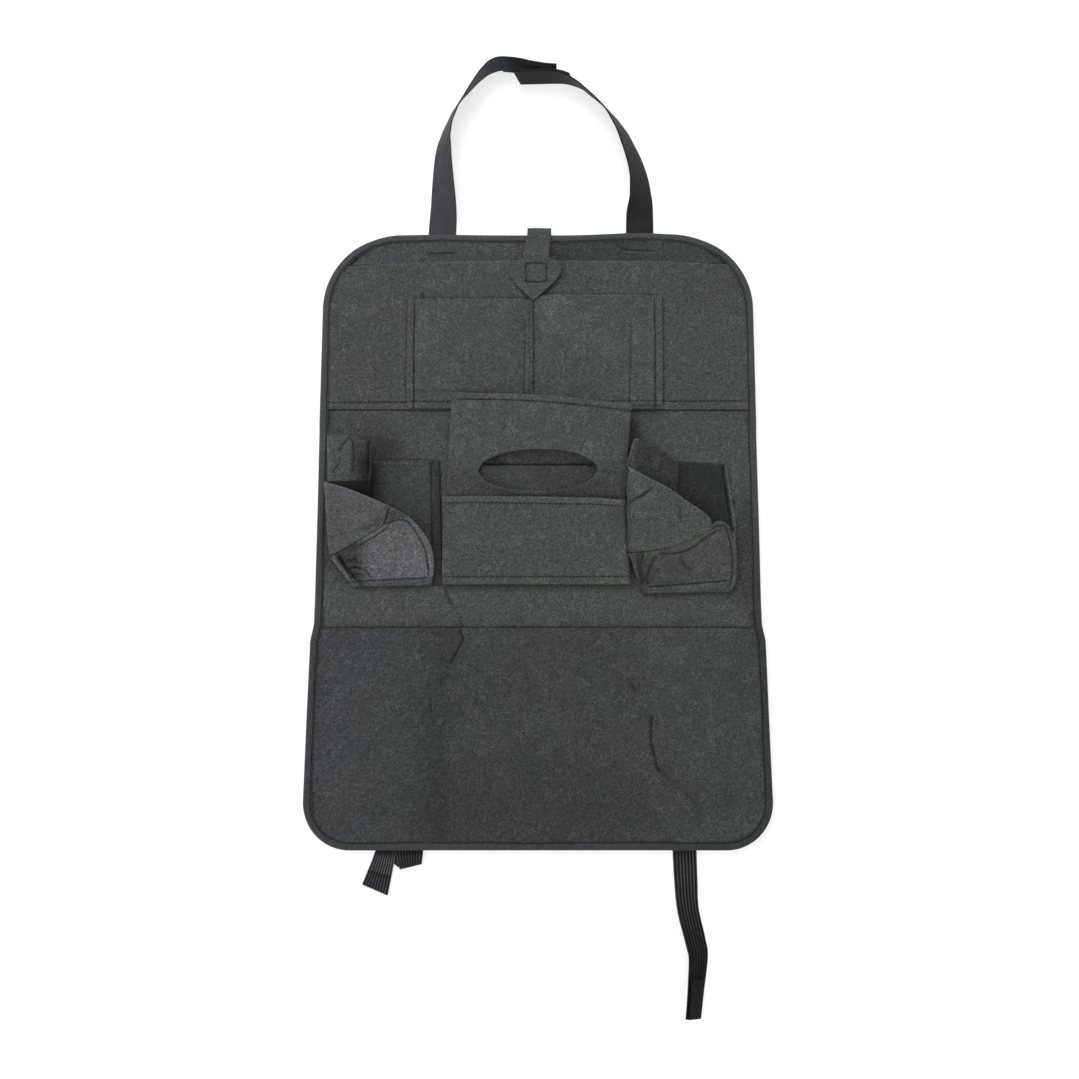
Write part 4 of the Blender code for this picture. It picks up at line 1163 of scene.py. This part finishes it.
def build_cup_wall(side, wall, looks):
    count, rows = 260, 46
    tops = catmull(lifted([t for t, _ in wall]), count)
    feet = catmull(lifted([b for _, b in wall]), count)
    share = np.linspace(0, 1, rows)[:, None, None]
    P = feet[None] + (tops - feet)[None] * share
    X, Y = P[..., 0], P[..., 1]
    run = np.arange(count + 1)[None] / count * (len(wall) - 1) + 0 * X
    is_front = ease((run - looks["front_from"] + 0.6) / 0.6)
    up = FELT / 2 + 0.12 * wave(X, Y, 12, 93) + 0.3 * wave(X, Y, 24, 94)
    # Painted shade inside the cup and in the creases, painted light and shade on the front's
    # facets, and painted highlights along the rim and along the top edge behind the front
    inner_tone = times(plain_tone(X, Y, looks["inner"]), looks["shade"](X, Y, run))
    front_tone = tinted(plain_tone(X, Y, looks["front"]), *looks["front_tint"])
    for line, width, depth in looks["inner_folds"]:
        up = up + crease(X, Y, line, width, depth) * (1 - is_front)
        inner_tone = times(inner_tone, fold_shade(X, Y, line, width, depth))
    for line, width, depth in looks["front_folds"]:
        up = up + crease(X, Y, line, width, depth) * is_front
        front_tone = times(front_tone, fold_shade(X, Y, line, width, depth))
    rim = bell((1 - share[..., 0]) * 100, 1.6) + 0 * X
    front_tone = times(front_tone, looks["facet"](X, Y), 1 + 0.35 * rim)
    second = ease((run - looks["light_from"]) / 0.5) * (1 - is_front) * rim
    tone = times(mix(inner_tone, front_tone, is_front[..., None]), 1 + 1.5 * second)
    cloth(side + "_cup_wall", P, up=np.maximum(up, 0.3), tone=tone)


def build_cup_floor(side, arc, base, seams, folds, looks):
    columns, rows = 150, 72
    inner, under, foot = seams
    curve = catmull(lifted(arc), columns)
    first, last = lifted(base)
    low = first[None] + (last - first)[None] * np.linspace(0, 1, columns + 1)[:, None]
    share = np.linspace(0, 1, rows)[:, None, None]
    P = low[None] + (curve - low)[None] * share
    P[..., 2] += 1.6 * np.sin(math.pi * share[..., 0])
    X, Y = P[..., 0], P[..., 1]
    up = FELT / 2 + 0.12 * wave(X, Y, 9, 95) + 0.35 * wave(X, Y, 24, 96)
    tone = tinted(plain_tone(X, Y, looks["floor"]), *looks["floor_tint"])
    # Painted shade in the creases
    for line, width, depth in folds:
        up = up + crease(X, Y, line, width, depth)
        tone = times(tone, fold_shade(X, Y, line, width, depth))
    speckle = wave(X, Y, 5, 102) * wave(X, Y, 12, 103)
    tone = times(tone, 1 + looks["speckle"] * speckle, looks["floor_shade"](X, Y))
    runs = []
    for line in (inner, under, foot):
        smooth = catmull([(*p, 0) for p in line], 60)[:, :2]
        d, way, part = line_distance(X, Y, smooth)
        ends = ease(part / 0.05) * ease((1 - part) / 0.05)
        up = up + groove(d, 0.7, 0.8) * ends
        outside = (way > 0) if line is not foot else (way < 0)
        raised = np.where(outside & (d > 0.6) & (d < 7), ends, 0) * ease((d - 0.6) / 0.8)
        up = up + 0.45 * raised
        # Dark seam lines, and painted light on the raised seam allowances
        tone = times(tone, 1 - 0.6 * ends * bell(d, 0.75), 1 + 0.12 * raised)
        if line is not under:
            near = [np.argmin((X - a) ** 2 + (Y - b) ** 2) for a, b in smooth]
            runs.append(np.column_stack([smooth, P[..., 2].ravel()[near] + FELT / 2 - 0.55]))
        if line is foot:
            below = np.where((way < 0) & (X > foot[0][0] - 1), ease(d), 0)
            tone = tinge(tone, below, np.array(looks["strip"]) - 1)
    obj = cloth(side + "_cup_floor", P, up=np.maximum(up, 0.25), tone=tone)
    stitches(side + "_cup_floor_stitches", runs, obj, 3.2, 2.5, 0.28)


def build_cup_side(side, plate, seam, looks):
    edges = []
    for edge in plate:
        at = np.linspace(0, len(edge) - 1, 100)
        edges.append(np.array([np.interp(at, range(len(edge)), c) for c in zip(*edge)]).T)
    P = mix(edges[0][:, None], edges[1][:, None], np.linspace(0, 1, 80)[None, :, None])
    X, Y = P[..., 0], P[..., 1]
    P = np.stack([X, Y, BACK_MID + LAYER + panel_wave(X, Y)], -1)
    d, _, part = line_distance(X, Y, seam)
    up = FELT / 2 + groove(d, 0.6, 0.7) * (part < 1) + 0.1 * wave(X, Y, 14, 98)
    # Painted shade over the side felt from its level and side_shade, and a dark seam line
    tone = tinted(plain_tone(X, Y, looks["side"]), *looks["side_tint"])
    tone = times(tone, looks["side_shade"](X, Y), 1 - 0.78 * bell(d, 0.85))
    cloth(side + "_cup_side", P, up=up, tone=tone)


def left_shade(x, y, run):
    """Painted shade in the left cup: dark below the second run's top, darker towards the fold."""
    low = ease((47.5 - y) / 4) * ease((run - 4.6) / 0.6)
    pocket = 1 - 0.86 * np.maximum(ease((run - 7.4) / 0.8), low)
    slope = 1 - 0.79 * ease((x + 177) / 23) * ease((92 - y) / 30)
    # Painted light on the lit facet at the left
    light = 0.16 * ease((-176 - x) / 8) + 0.14 * bell(x + 172.5, 4) * ease((y - 48) / 10)
    return pocket * slope * (1 + light)


def left_floor_shade(x, y):
    """Painted shade by the gap at the left and in it; the strip on its far side stays light."""
    inner = 1 - 0.66 * ease((-148 - x) / 16) - 0.12 * ease((y + 8) / 12)
    strip = x < -178.2 - 0.7 * (y + 23)
    best, _, share = line_distance(x, y, [(-177.8, -24.4), (-174.6, -30), (-166.4, -43.6)])
    gap = 0.93 * bell(best, 0.9 + 1.9 * (1 - share) ** 1.5)
    return np.where(strip, 0.95, inner) * (1 - gap)


# Painted shade on the right cup's floor, darker towards its left
def right_floor_shade(x, y):
    return 1 - 0.1 * ease((134 - x) / 20) - 0.08 * ease((108 - x) / 14)


# Painted light and shade on the left cup's front: darker at its left end and on the facet right of
# the crease, a little lighter in the middle
def left_facet_shading(x, y):
    edge = 0.1 * ease((-170 - x) / 14)
    turned = 0.22 * ease((x + 136.2 - 0.3 * (y - 8)) / 1.5)
    return 1 - edge - turned + 0.06 * spot(x, y, -160, 12, 22, 16)


# Painted light on the right cup's front, on the facet above its crease
def right_facet_shading(x, y):
    return 1 + 0.08 * ease((y - 24 - 0.55 * (x - 80)) / 2)


# Painted shadow next to the left cup's fold and low on its side felt, darker past the seam
def left_side_shade(x, y):
    near = 0.72 * bell(x + 151, 12) * ease((70 - y) / 14) + 0.16 * bell(x + 150, 30)
    low = 0.3 * spot(x, y, -105, -4, 18, 22)
    outer = 0.34 * ease((x + 95.8 + 0.027 * (y - 8)) / 1.2)
    return (1 - near) * (1 - low) * (1 - outer)


def right_shade(x, y, run):
    """Painted shade in the right cup: darker down and away from its left edge."""
    depth = (56 - 0.62 * (x - 88)) - y
    low = 0.24 * ease((depth + 12) / 20)
    return 1 - 0.42 * ease((x - 87) / 9) - low - 0.1 * ease((x - 108) / 14)


# Painted shade on the right cup's side felt up to its seam, lighter past it
def right_side_shade(x, y):
    return 0.31 + 0.85 * ease((x - 168.1 - 0.115 * (60 - y)) / 2.4)


# Colour levels, tints, painted light and shade, and creases. front_from and light_from count the
# wall's stations: where the folded front begins, and from where the top edge behind it gets a
# painted highlight
LEFT_LOOKS = {
    "front_from": 11.6,
    "inner": 0.92,
    "front": 1.14,
    "front_tint": (1.05, 0.97, 1.05),
    # Painted light on the turned-up floor, which faces the lamps
    "floor": 1.5,
    "floor_tint": (1.05, 0.94, 1.06),
    "strip": (0.6, 0.64, 0.6),
    "speckle": 0.16,
    "floor_shade": left_floor_shade,
    # Painted shade over the side felt
    "side": 0.71,
    "side_tint": (0.97, 1.01, 0.97),
    "shade": left_shade,
    "facet": left_facet_shading,
    "light_from": 20.0,
    "side_shade": left_side_shade,
    "inner_folds": [
        ([(-180.5, 73), (-172, 85), (-170.4, 85.6)], 1.1, 1.4),
        ([(-170.6, 86), (-168, 80), (-166.6, 64)], 1.1, 1.6),
        ([(-186, 52), (-178, 66)], 2.2, 0.7),
        ([(-155, 83), (-154, 68), (-153, 54)], 1.4, 2.1),
        ([(-168, 66), (-167, 50)], 2.4, 0.8),
    ],
    "front_folds": [
        ([(-132.4, 19), (-135.2, 10), (-137.6, 3.2)], 1.2, 2.4),
        ([(-158, -2), (-146, 4), (-138, 9)], 3.0, 0.5),
    ],
}
RIGHT_LOOKS = {
    "front_from": 12.4,
    "inner": 0.92,
    "front": 0.98,
    "front_tint": (0.99, 1.02, 0.99),
    "floor": 0.88,
    "floor_tint": (1.04, 0.97, 1.02),
    "strip": (1.0, 1.1, 1.06),
    "speckle": 0.06,
    "floor_shade": right_floor_shade,
    "side": 1.0,
    "side_tint": (0.96, 1.02, 1.04),
    "shade": right_shade,
    "facet": right_facet_shading,
    "light_from": 7.4,
    "side_shade": right_side_shade,
    "inner_folds": [
        ([(100, 70), (103, 52)], 1.6, 1.0),
        ([(92, 76), (89, 62), (94, 54)], 1.4, 0.9),
        ([(112, 64), (110, 52)], 1.4, 0.8),
    ],
    "front_folds": [
        ([(80.5, 23.8), (91.4, 28.9), (103.5, 37)], 1.2, 2.1),
        ([(126.3, 20), (127.8, 5)], 1.0, 0.9),
    ],
}


# Straps: a path of the edge that stays low, and a tilt that lifts the other edge
def strap_stations(path, count, inner):
    p = catmull(path, count)
    ahead = np.vstack([p[1:], p[-1:]])
    behind = np.vstack([p[:1], p[:-1]])
    along = (ahead - behind)[:, :2]
    along /= np.linalg.norm(along, axis=1, keepdims=True)
    inward = np.column_stack([along[:, 1], -along[:, 0], np.zeros(len(p))]) * inner
    tilt = np.radians(np.maximum(p[:, 2], 0))[:, None]
    z = np.array([[0.0, 0.0, 1.0]])
    across = inward * np.cos(tilt) + z * np.sin(tilt)
    face = inward * np.sin(tilt) - z * np.cos(tilt)
    edge = np.column_stack([p[:, :2], np.zeros(len(p))])
    return edge, across, face


def ribbon(stations, width, base, offset=0.0, margin=0.0, columns=16):
    """Points and UV of a strap; margin is how far in from the low edge it begins."""
    edge, across, face = stations
    lift = np.zeros_like(edge)
    lift[:, 2] = base / 2 * np.abs(face[:, 2])
    start = edge + lift + face * offset
    at = mix(margin, width + margin, np.linspace(0, 1, columns))
    P = start[:, None] + across[:, None] * at[None, :, None]
    return P, np.stack(np.meshgrid(at, way_along(edge)), -1)


def part_of(stations, first, last):
    return tuple(part[first:last] for part in stations)


# The webbing's way as (share of the span, share of the reach, tilt in degrees)
LOOP_LEFT = [
    (0.0038, 0.098, 4), (0.0095, 0.196, 20), (0.0128, 0.295, 31.5), (0.0185, 0.418, 43.5),
    (0.0242, 0.493, 49.5), (0.0347, 0.5675, 57), (0.048, 0.618, 63), (0.0613, 0.668, 67),
    (0.0765, 0.712, 69), (0.1007, 0.781, 70.5), (0.123, 0.825, 72), (0.1458, 0.866, 74),
    (0.1658, 0.895, 77), (0.1905, 0.9325, 80), (0.218, 0.971, 83), (0.2542, 1.012, 86.5),
    (0.2812, 1.031, 88.5), (0.3131, 1.044, 88.5), (0.3496, 1.044, 88.5), (0.4014, 1.036, 88.5),
    (0.4504, 1.021, 88.5), (0.5192, 1.005, 88.5), (0.5686, 1.0, 88.5),
]
LOOP_RIGHT = [
    (0, 0.127, 7.5), (0.0019, 0.217, 26.5), (0.0081, 0.281, 35), (0.0171, 0.358, 41.5),
    (0.0323, 0.435, 46), (0.0527, 0.512, 49.5), (0.0793, 0.59, 54), (0.1083, 0.668, 58.5),
    (0.1477, 0.746, 63.5), (0.1819, 0.802, 67.5), (0.2133, 0.847, 69), (0.2451, 0.887, 70),
    (0.2765, 0.923, 71), (0.3083, 0.959, 72), (0.3449, 0.982, 75), (0.39, 0.998, 81.5),
    (0.4494, 1.0, 88), (0.504, 0.998, 88.5), (0.5772, 0.996, 88.5), (0.624, 0.994, 88.5),
]


def build_loop():
    span = STRAP_RIGHT - STRAP_LEFT
    meet = LOOP_REACH - (WEBBING + 2 * STRAP_PATCH + 3 * GAP)
    fine, slant = 10, 7.0

    def stations(x, way, reach, path):
        points = [(x, TOP - 23, 0), (x, TOP - 1, 0)]
        points += [(x + a * span * way, TOP + b * reach, t) for a, b, t in path]
        return strap_stations(points, fine * (len(points) - 1), way)

    left = stations(STRAP_LEFT, 1, LOOP_REACH, LOOP_LEFT)
    right = stations(STRAP_RIGHT, -1, meet, LOOP_RIGHT)
    for node, line in (("left_strap", left), ("right_strap", right)):
        P, uv = ribbon(line, STRAP_WIDTH, WEBBING)
        if line is right:
            cut = ease((np.arange(len(P)) - len(P) + 12) / 12)[:, None, None]
            ahead = (P[-1:] - P[-2:-1]) / np.linalg.norm(P[-1, 0] - P[-2, 0])
            P = P - cut * np.linspace(1, 0, P.shape[1])[None, :, None] * slant * ahead
        else:
            P, uv = P[::-1], uv[::-1]
        # Painted shade towards the top of the loop, where the webbing stands on edge, with a bluer
        # tint
        up_strap = P[..., 1] - TOP
        fade = ease((up_strap - 60) / 90)
        level = 0.5 - 0.3 * fade
        if line is left:
            level = 1.22 - 0.14 * ease((up_strap - 20) / 70) - 0.32 * ease((up_strap - 95) / 50)
        tone = np.stack([level, level * 1.01, level * (1 + 0.12 * fade)], -1)
        cloth(node, P, "webbing", tone=tone, uv=uv)
    offset = WEBBING / 2 + GAP + STRAP_PATCH / 2
    hook = part_of(left, 39 * fine // 2, 47 * fine // 2 + 1)
    loop = part_of(right, 50 * fine // 3, 60 * fine // 3 + 1)
    for node, line, away in (
        ("strap_hook_patch", hook, offset),
        ("strap_loop_patch", loop, -offset),
    ):
        P, uv = ribbon(line, STRAP_WIDTH - 4, WEBBING, away, 2.0)
        level = 0.4 + 0.25 * ease(1 - np.arange(len(P)) / 12)
        tone = np.repeat(level[:, None], P.shape[1], 1)
        cloth(node, P, "hook_and_loop", thickness=STRAP_PATCH, tone=tone, uv=uv)


def build_closure():
    half_felt = 0.6
    under = half_felt
    over = BACK_TOP + 2 * GAP + TAPE + half_felt
    mouth = float(BACK_MID + LAYER + TABLET_LIFT) + FELT / 2
    loop_low = mouth + GAP
    hook_low = loop_low + SMALL_PATCH + GAP
    shield = hook_low + SMALL_PATCH + GAP + half_felt
    middle = (under + over) / 2
    edge = TOP + GAP + TAPE
    shoulder = TABLET_TOP + 1
    band, half, tip = 10.75, 23.5, shoulder - 39
    # How far up the panel, height and half width along the tab, from behind the panel to its tip
    profile = [
        (TOP - 24, under, band),
        (TOP - 4, under, band),
        (edge + 3, under, band),
        (edge + 5.8, mix(under, middle, 0.45), band),
        (edge + 6.4, middle, band),
        (edge + 5.8, mix(over, middle, 0.45), band),
        (edge + 2.6, over, band),
        (TOP - 6, over + 0.3, band + 0.3),
        (mix(TOP - 6, shoulder, 0.5), mix(over, shield, 0.55), band + 0.6),
        (shoulder + 4, shield, band + 0.9),
        (shoulder + 1, shield, band + 1.6),
        (shoulder - 2, shield, mix(band, half, 0.6)),
        (shoulder - 6, shield, 0.93 * half),
        (mix(shoulder, tip, 0.3), shield, half),
        (mix(shoulder, tip, 0.48), shield, 0.86 * half),
        (mix(shoulder, tip, 0.7), shield, 0.56 * half),
        (mix(shoulder, tip, 0.88), shield, 0.24 * half),
        (tip, shield, 0.5),
    ]
    rows, columns, front_row = 205, 25, 110
    p = catmull(profile, rows - 1)
    lean = 1.2 - 3.0 * ease((TOP + 4 - p[:, 0]) / 28) - 2.4 * ease((shoulder + 2 - p[:, 0]) / 38)
    t = np.linspace(-1, 1, columns)
    X = lean[:, None] + p[:, 2:3] * t[None]
    Y = np.repeat(p[:, 0:1], columns, 1)
    Z = np.repeat(np.maximum(p[:, 1:2], under), columns, 1)
    front = (np.arange(rows) > front_row)[:, None]
    Z = Z + np.where(front, 0.5 * np.abs(t[None]) ** 3, 0)
    P = np.stack([X, Y, Z], -1)[:, ::-1]
    X, Y = P[..., 0], P[..., 1]
    square = [(-9.2, 8.6), (9.6, 8.6), (10.4, -9.2), (-8.6, -9.2), (-9.2, 8.6)]
    cx, cy = -2.3, shoulder - 12.5
    corners = np.array([(cx + a, cy + b, shield + half_felt - 0.05) for a, b in square])
    dent = np.zeros(X.shape)
    for a, b in zip(corners, corners[1:]):
        ab = (b - a)[:2]
        s = np.clip(((X - a[0]) * ab[0] + (Y - a[1]) * ab[1]) / (ab @ ab), 0, 1)
        d = np.hypot(X - a[0] - ab[0] * s, Y - a[1] - ab[1] * s)
        dent = np.minimum(dent, groove(d, 0.3, 0.9))
    dent = np.where(front, dent, 0)
    up = half_felt + dent + 0.08 * wave(X, Y, 9, 97)
    # Painted shade in the stitched square's groove
    tone = times(plain_tone(X, Y, 0.94), 1 + 2.2 * dent)
    obj = cloth("closure_tab", P, up=up, down=half_felt, tone=tone)
    runs = [np.vstack([a, b]) for a, b in zip(corners, corners[1:])]
    stitches("closure_tab_stitches", runs, obj, 2.7, 1.9, 0.42)
    patch_x, patch_y, patch_points = -1.75, shoulder - 11.5, 12
    for node, low, size in (
        ("closure_loop_patch", loop_low, 19.0),
        ("closure_hook_patch", hook_low, 18.0),
    ):
        along = np.linspace(-size / 2, size / 2, patch_points)
        P = field(along + patch_x, along + patch_y, lambda x, y: low + SMALL_PATCH / 2 + 0 * x)
        cloth(node, P, "hook_and_loop", uv=P[..., :2])


def rib(uv, count):
    """Height of an elastic's ribs."""
    return 0.22 * (0.5 + 0.5 * np.cos(uv[..., 0] / ELASTIC_WIDTH * 2 * math.pi * count))


def rib_light_and_shade(ribs, level):
    """Painted highlight on the ribs and painted shade in the grooves between them."""
    return level * (0.3 + 2.7 * (ribs / ribs.max()) ** 3)


def facing_up(P, uv):
    """The grid turned so that its skin faces the front."""
    return (P[:, ::-1], uv[:, ::-1]) if normals(P)[..., 2].mean() < 0 else (P, uv)


def build_right_elastic():
    x, reach = ELASTIC_RIGHT, ELASTIC_REACH
    path = [(x, 20, 0), (x, 0, 0), (x + 0.4, -0.18 * reach, 8), (x + 0.9, -0.352 * reach, 22)]
    path += [(x + 6, -0.53 * reach, 28), (x + 8, -0.64 * reach, 32)]
    path += [(x + 4, -0.85 * reach, 42), (x + 1.2, -reach, 45)]
    stations = strap_stations([(a, BOTTOM + b, t) for a, b, t in path], 144, 1)
    P, uv = ribbon(stations, ELASTIC_WIDTH, ELASTIC, columns=55)
    P, uv = facing_up(P[::-1], uv[::-1])
    ribs = rib(uv, 7)
    # Painted shade towards the loose end, where the band tilts away from the lamps
    tone = rib_light_and_shade(ribs, 1.1 - 0.92 * ease((BOTTOM - 20 - P[..., 1]) / 90))
    cloth("right_elastic", P, "elastic", up=0.4 + ribs, down=0.4 + ribs, tone=tone, uv=uv)
    offset = -(ELASTIC / 2 + GAP + SMALL_PATCH / 2)
    P, uv = ribbon(part_of(stations, 116, 145), ELASTIC_WIDTH - 4, ELASTIC, offset, 2.0)
    P, uv = facing_up(P, uv)
    tone = np.full(P.shape[:2], 0.12)
    cloth("right_elastic_patch", P, "hook_and_loop", tone=tone, uv=uv)


def build_left_elastic():
    x, w = ELASTIC_LEFT, ELASTIC_WIDTH
    low = ELASTIC / 2
    high = low + ELASTIC + GAP
    bend = (low + high) / 2
    # Both edges of the band at each station, from behind the panel to the loose end
    pairs = np.array([
        ((x, 20, low), (x + w + 3, 20, low)),
        ((x, 0, low), (x + w + 3, 0, low)),
        ((x, -2, low), (x + w + 3, -2, low)),
        ((x + 1, -7, high), (x + w + 3, -5, high)),
        ((x + 2.2, -12, high), (x + w + 2.6, -8.5, high)),
        ((x + 3.6, -16.4, high), (x + w + 2.2, -11.9, high)),
        ((x + 3.7, -17.2, bend), (x + w + 2.2, -12.7, bend)),
        ((x + 3.6, -16.4, low), (x + w + 1.6, -11.9, low)),
        ((x - 4, -11, low), (x + w - 11, -7, low)),
        ((x - 15.5, -3.0, low), (x - 1.2, -2.7, low)),
        ((x - 17.6, -2.0, bend), (x - 0.6, -1.8, bend)),
        ((x - 18, -3.0, high), (x - 0.8, -2.7, high)),
        ((x - 20, -9, high), (x - 1.6, -11, high)),
        ((x - 28.4, -30, high), (x - 6.8, -39, high)),
    ])
    rows = []
    for k in range(len(pairs) - 1):
        steps = 10 if k < len(pairs) - 2 else 30
        rows += [mix(pairs[k], pairs[k + 1], i / steps) for i in range(steps)]
    rows = np.array([*rows, pairs[-1]])
    along = way_along(rows.mean(1))
    share = np.linspace(0, 1, 55)[:, None]
    P = rows[:, :1] + (rows[:, 1:] - rows[:, :1]) * share + np.array([0, BOTTOM, 0])
    uv = np.stack(np.meshgrid(np.linspace(0, w, 55), along), -1)
    P, uv = P[::-1], uv[::-1]
    ribs = rib(uv, 9)
    last = along[-1] - uv[..., 1]
    level = 0.85 + 0.8 * ease((31 - last) / 4) - 0.65 * ease((13.5 - last) / 1.5)
    tone = rib_light_and_shade(ribs, level) * (1 - 0.8 * bell(last - 13.5, 1.0))
    cloth("left_elastic", P, "elastic", up=0.4 + ribs, down=0.4 + ribs, tone=tone, uv=uv)
    t, s = np.meshgrid(np.linspace(0.94, 0.42, 16), np.linspace(0.1, 0.9, 16), indexing="ij")
    t, s = t[..., None], s[..., None]
    start, end = pairs[-2], pairs[-1]
    P = mix(mix(start[0], start[1], s), mix(end[0], end[1], s), t)
    P[..., 1] += BOTTOM
    P[..., 2] = SMALL_PATCH / 2
    cloth("left_elastic_patch", P, "hook_and_loop", uv=P[..., :2])


build_back()
build_binding()
build_tablet()
build_map()
start, end, _ = PHONE_LEFT
build_phone(
    "phone_pocket_left", *PHONE_LEFT, (start + 5.9, end - 3.4), (0.75, 0.15), end - 8, end, 0.98
)
start, end, _ = PHONE_RIGHT
build_phone("phone_pocket_right", *PHONE_RIGHT, (end - 6.6,), (0.7,), end - 29, start, 1.03)
build_tissue()
build_flap()
build_gusset("tissue_gusset_left", tissue_left, 1, CENTER_TOP + 33, TABLET_BOTTOM - 2)
build_gusset("tissue_gusset_right", tissue_right, -1, CENTER_TOP + 18, TABLET_BOTTOM - 2)
build_center()
LEFT_SEAMS = (LEFT_INNER, LEFT_UNDER, LEFT_FOOT)
build_cup_wall("left", LEFT_WALL, LEFT_LOOKS)
build_cup_floor("left", LEFT_ARC, LEFT_BASE, LEFT_SEAMS, LEFT_FOLDS, LEFT_LOOKS)
build_cup_side("left", LEFT_SIDE, LEFT_SIDE_SEAM, LEFT_LOOKS)
RIGHT_SEAMS = (RIGHT_INNER, RIGHT_UNDER, RIGHT_FOOT)
build_cup_wall("right", RIGHT_WALL, RIGHT_LOOKS)
build_cup_floor("right", RIGHT_ARC, RIGHT_BASE, RIGHT_SEAMS, RIGHT_FOLDS, RIGHT_LOOKS)
build_cup_side("right", RIGHT_SIDE, RIGHT_SIDE_SEAM, RIGHT_LOOKS)
build_loop()
build_closure()
build_right_elastic()
build_left_elastic()

FLOOR = "studio_floor"

# Floor, light and camera, in metres
FLOOR_HALF, FLOOR_Z, STUDIO_LIGHT = 6, -0.0004, 0.66
LENS, SENSOR, CAMERA_TILT, CAMERA_AWAY = 40.0, 36.0, math.radians(8.6), 1.084
AIM_X, AIM_Y = 0.0014, (-7.3 + SHIFT[1]) * 0.001


def add_object(name, data):
    obj = bpy.data.objects.new(name, data)
    bpy.context.scene.collection.objects.link(obj)
    return obj


floor_mesh = bpy.data.meshes.new(FLOOR)
square = ((-1, -1), (1, -1), (1, 1), (-1, 1))
corners = [(a * FLOOR_HALF, b * FLOOR_HALF, FLOOR_Z) for a, b in square]
floor_mesh.from_pydata(corners, [], [(0, 1, 2, 3)])
floor = add_object(FLOOR, floor_mesh)
paper, tree, shader = start_material("studio_paper", 0.9, 0.0, 0.0)
shader.inputs["Base Color"].default_value = (0.5, 0.5, 0.5, 1)
shader.inputs["Emission Color"].default_value = (1, 1, 1, 1)
shader.inputs["Emission Strength"].default_value = STUDIO_LIGHT
floor_mesh.materials.append(paper)

world = bpy.data.worlds.new("studio")
bpy.context.scene.world = world
world.use_nodes = True
world.node_tree.nodes["Background"].inputs["Color"].default_value = (1.0, 1.0, 1.0, 1)
world.node_tree.nodes["Background"].inputs["Strength"].default_value = STUDIO_LIGHT


def area_light(name, place, target, size, power, colour):
    light = bpy.data.lights.new(name, "AREA")
    light.shape = "RECTANGLE"
    light.size, light.size_y = size
    light.energy = power
    light.color = colour
    obj = add_object(name, light)
    obj.location = place
    way = np.array(target, float) - np.array(place, float)
    flat = math.hypot(way[0], way[1])
    turn = math.atan2(way[1], way[0]) - math.pi / 2
    obj.rotation_euler = (math.atan2(flat, -way[2]), 0, turn)


area_light("softbox_top", (-0.5, 1.3, 1.7), (0, 0.1, 0), (1.4, 1.0), 15.0, (1.0, 0.99, 0.97))
area_light("softbox_left", (-1.7, -0.2, 1.3), (0, 0, 0), (1.0, 1.4), 9.0, (0.97, 0.98, 1.0))

camera_data = bpy.data.cameras.new("camera")
camera_data.lens = LENS
camera_data.sensor_width = SENSOR
camera = add_object("camera", camera_data)
back, up = CAMERA_AWAY * math.sin(CAMERA_TILT), CAMERA_AWAY * math.cos(CAMERA_TILT)
camera.location = (AIM_X, AIM_Y - back, up)
camera.rotation_euler = (CAMERA_TILT, 0, 0)
bpy.context.scene.camera = camera
bpy.context.scene.view_settings.view_transform = "Standard"
bpy.context.scene.view_settings.look = "None"
bpy.context.scene.view_settings.exposure = 0.0
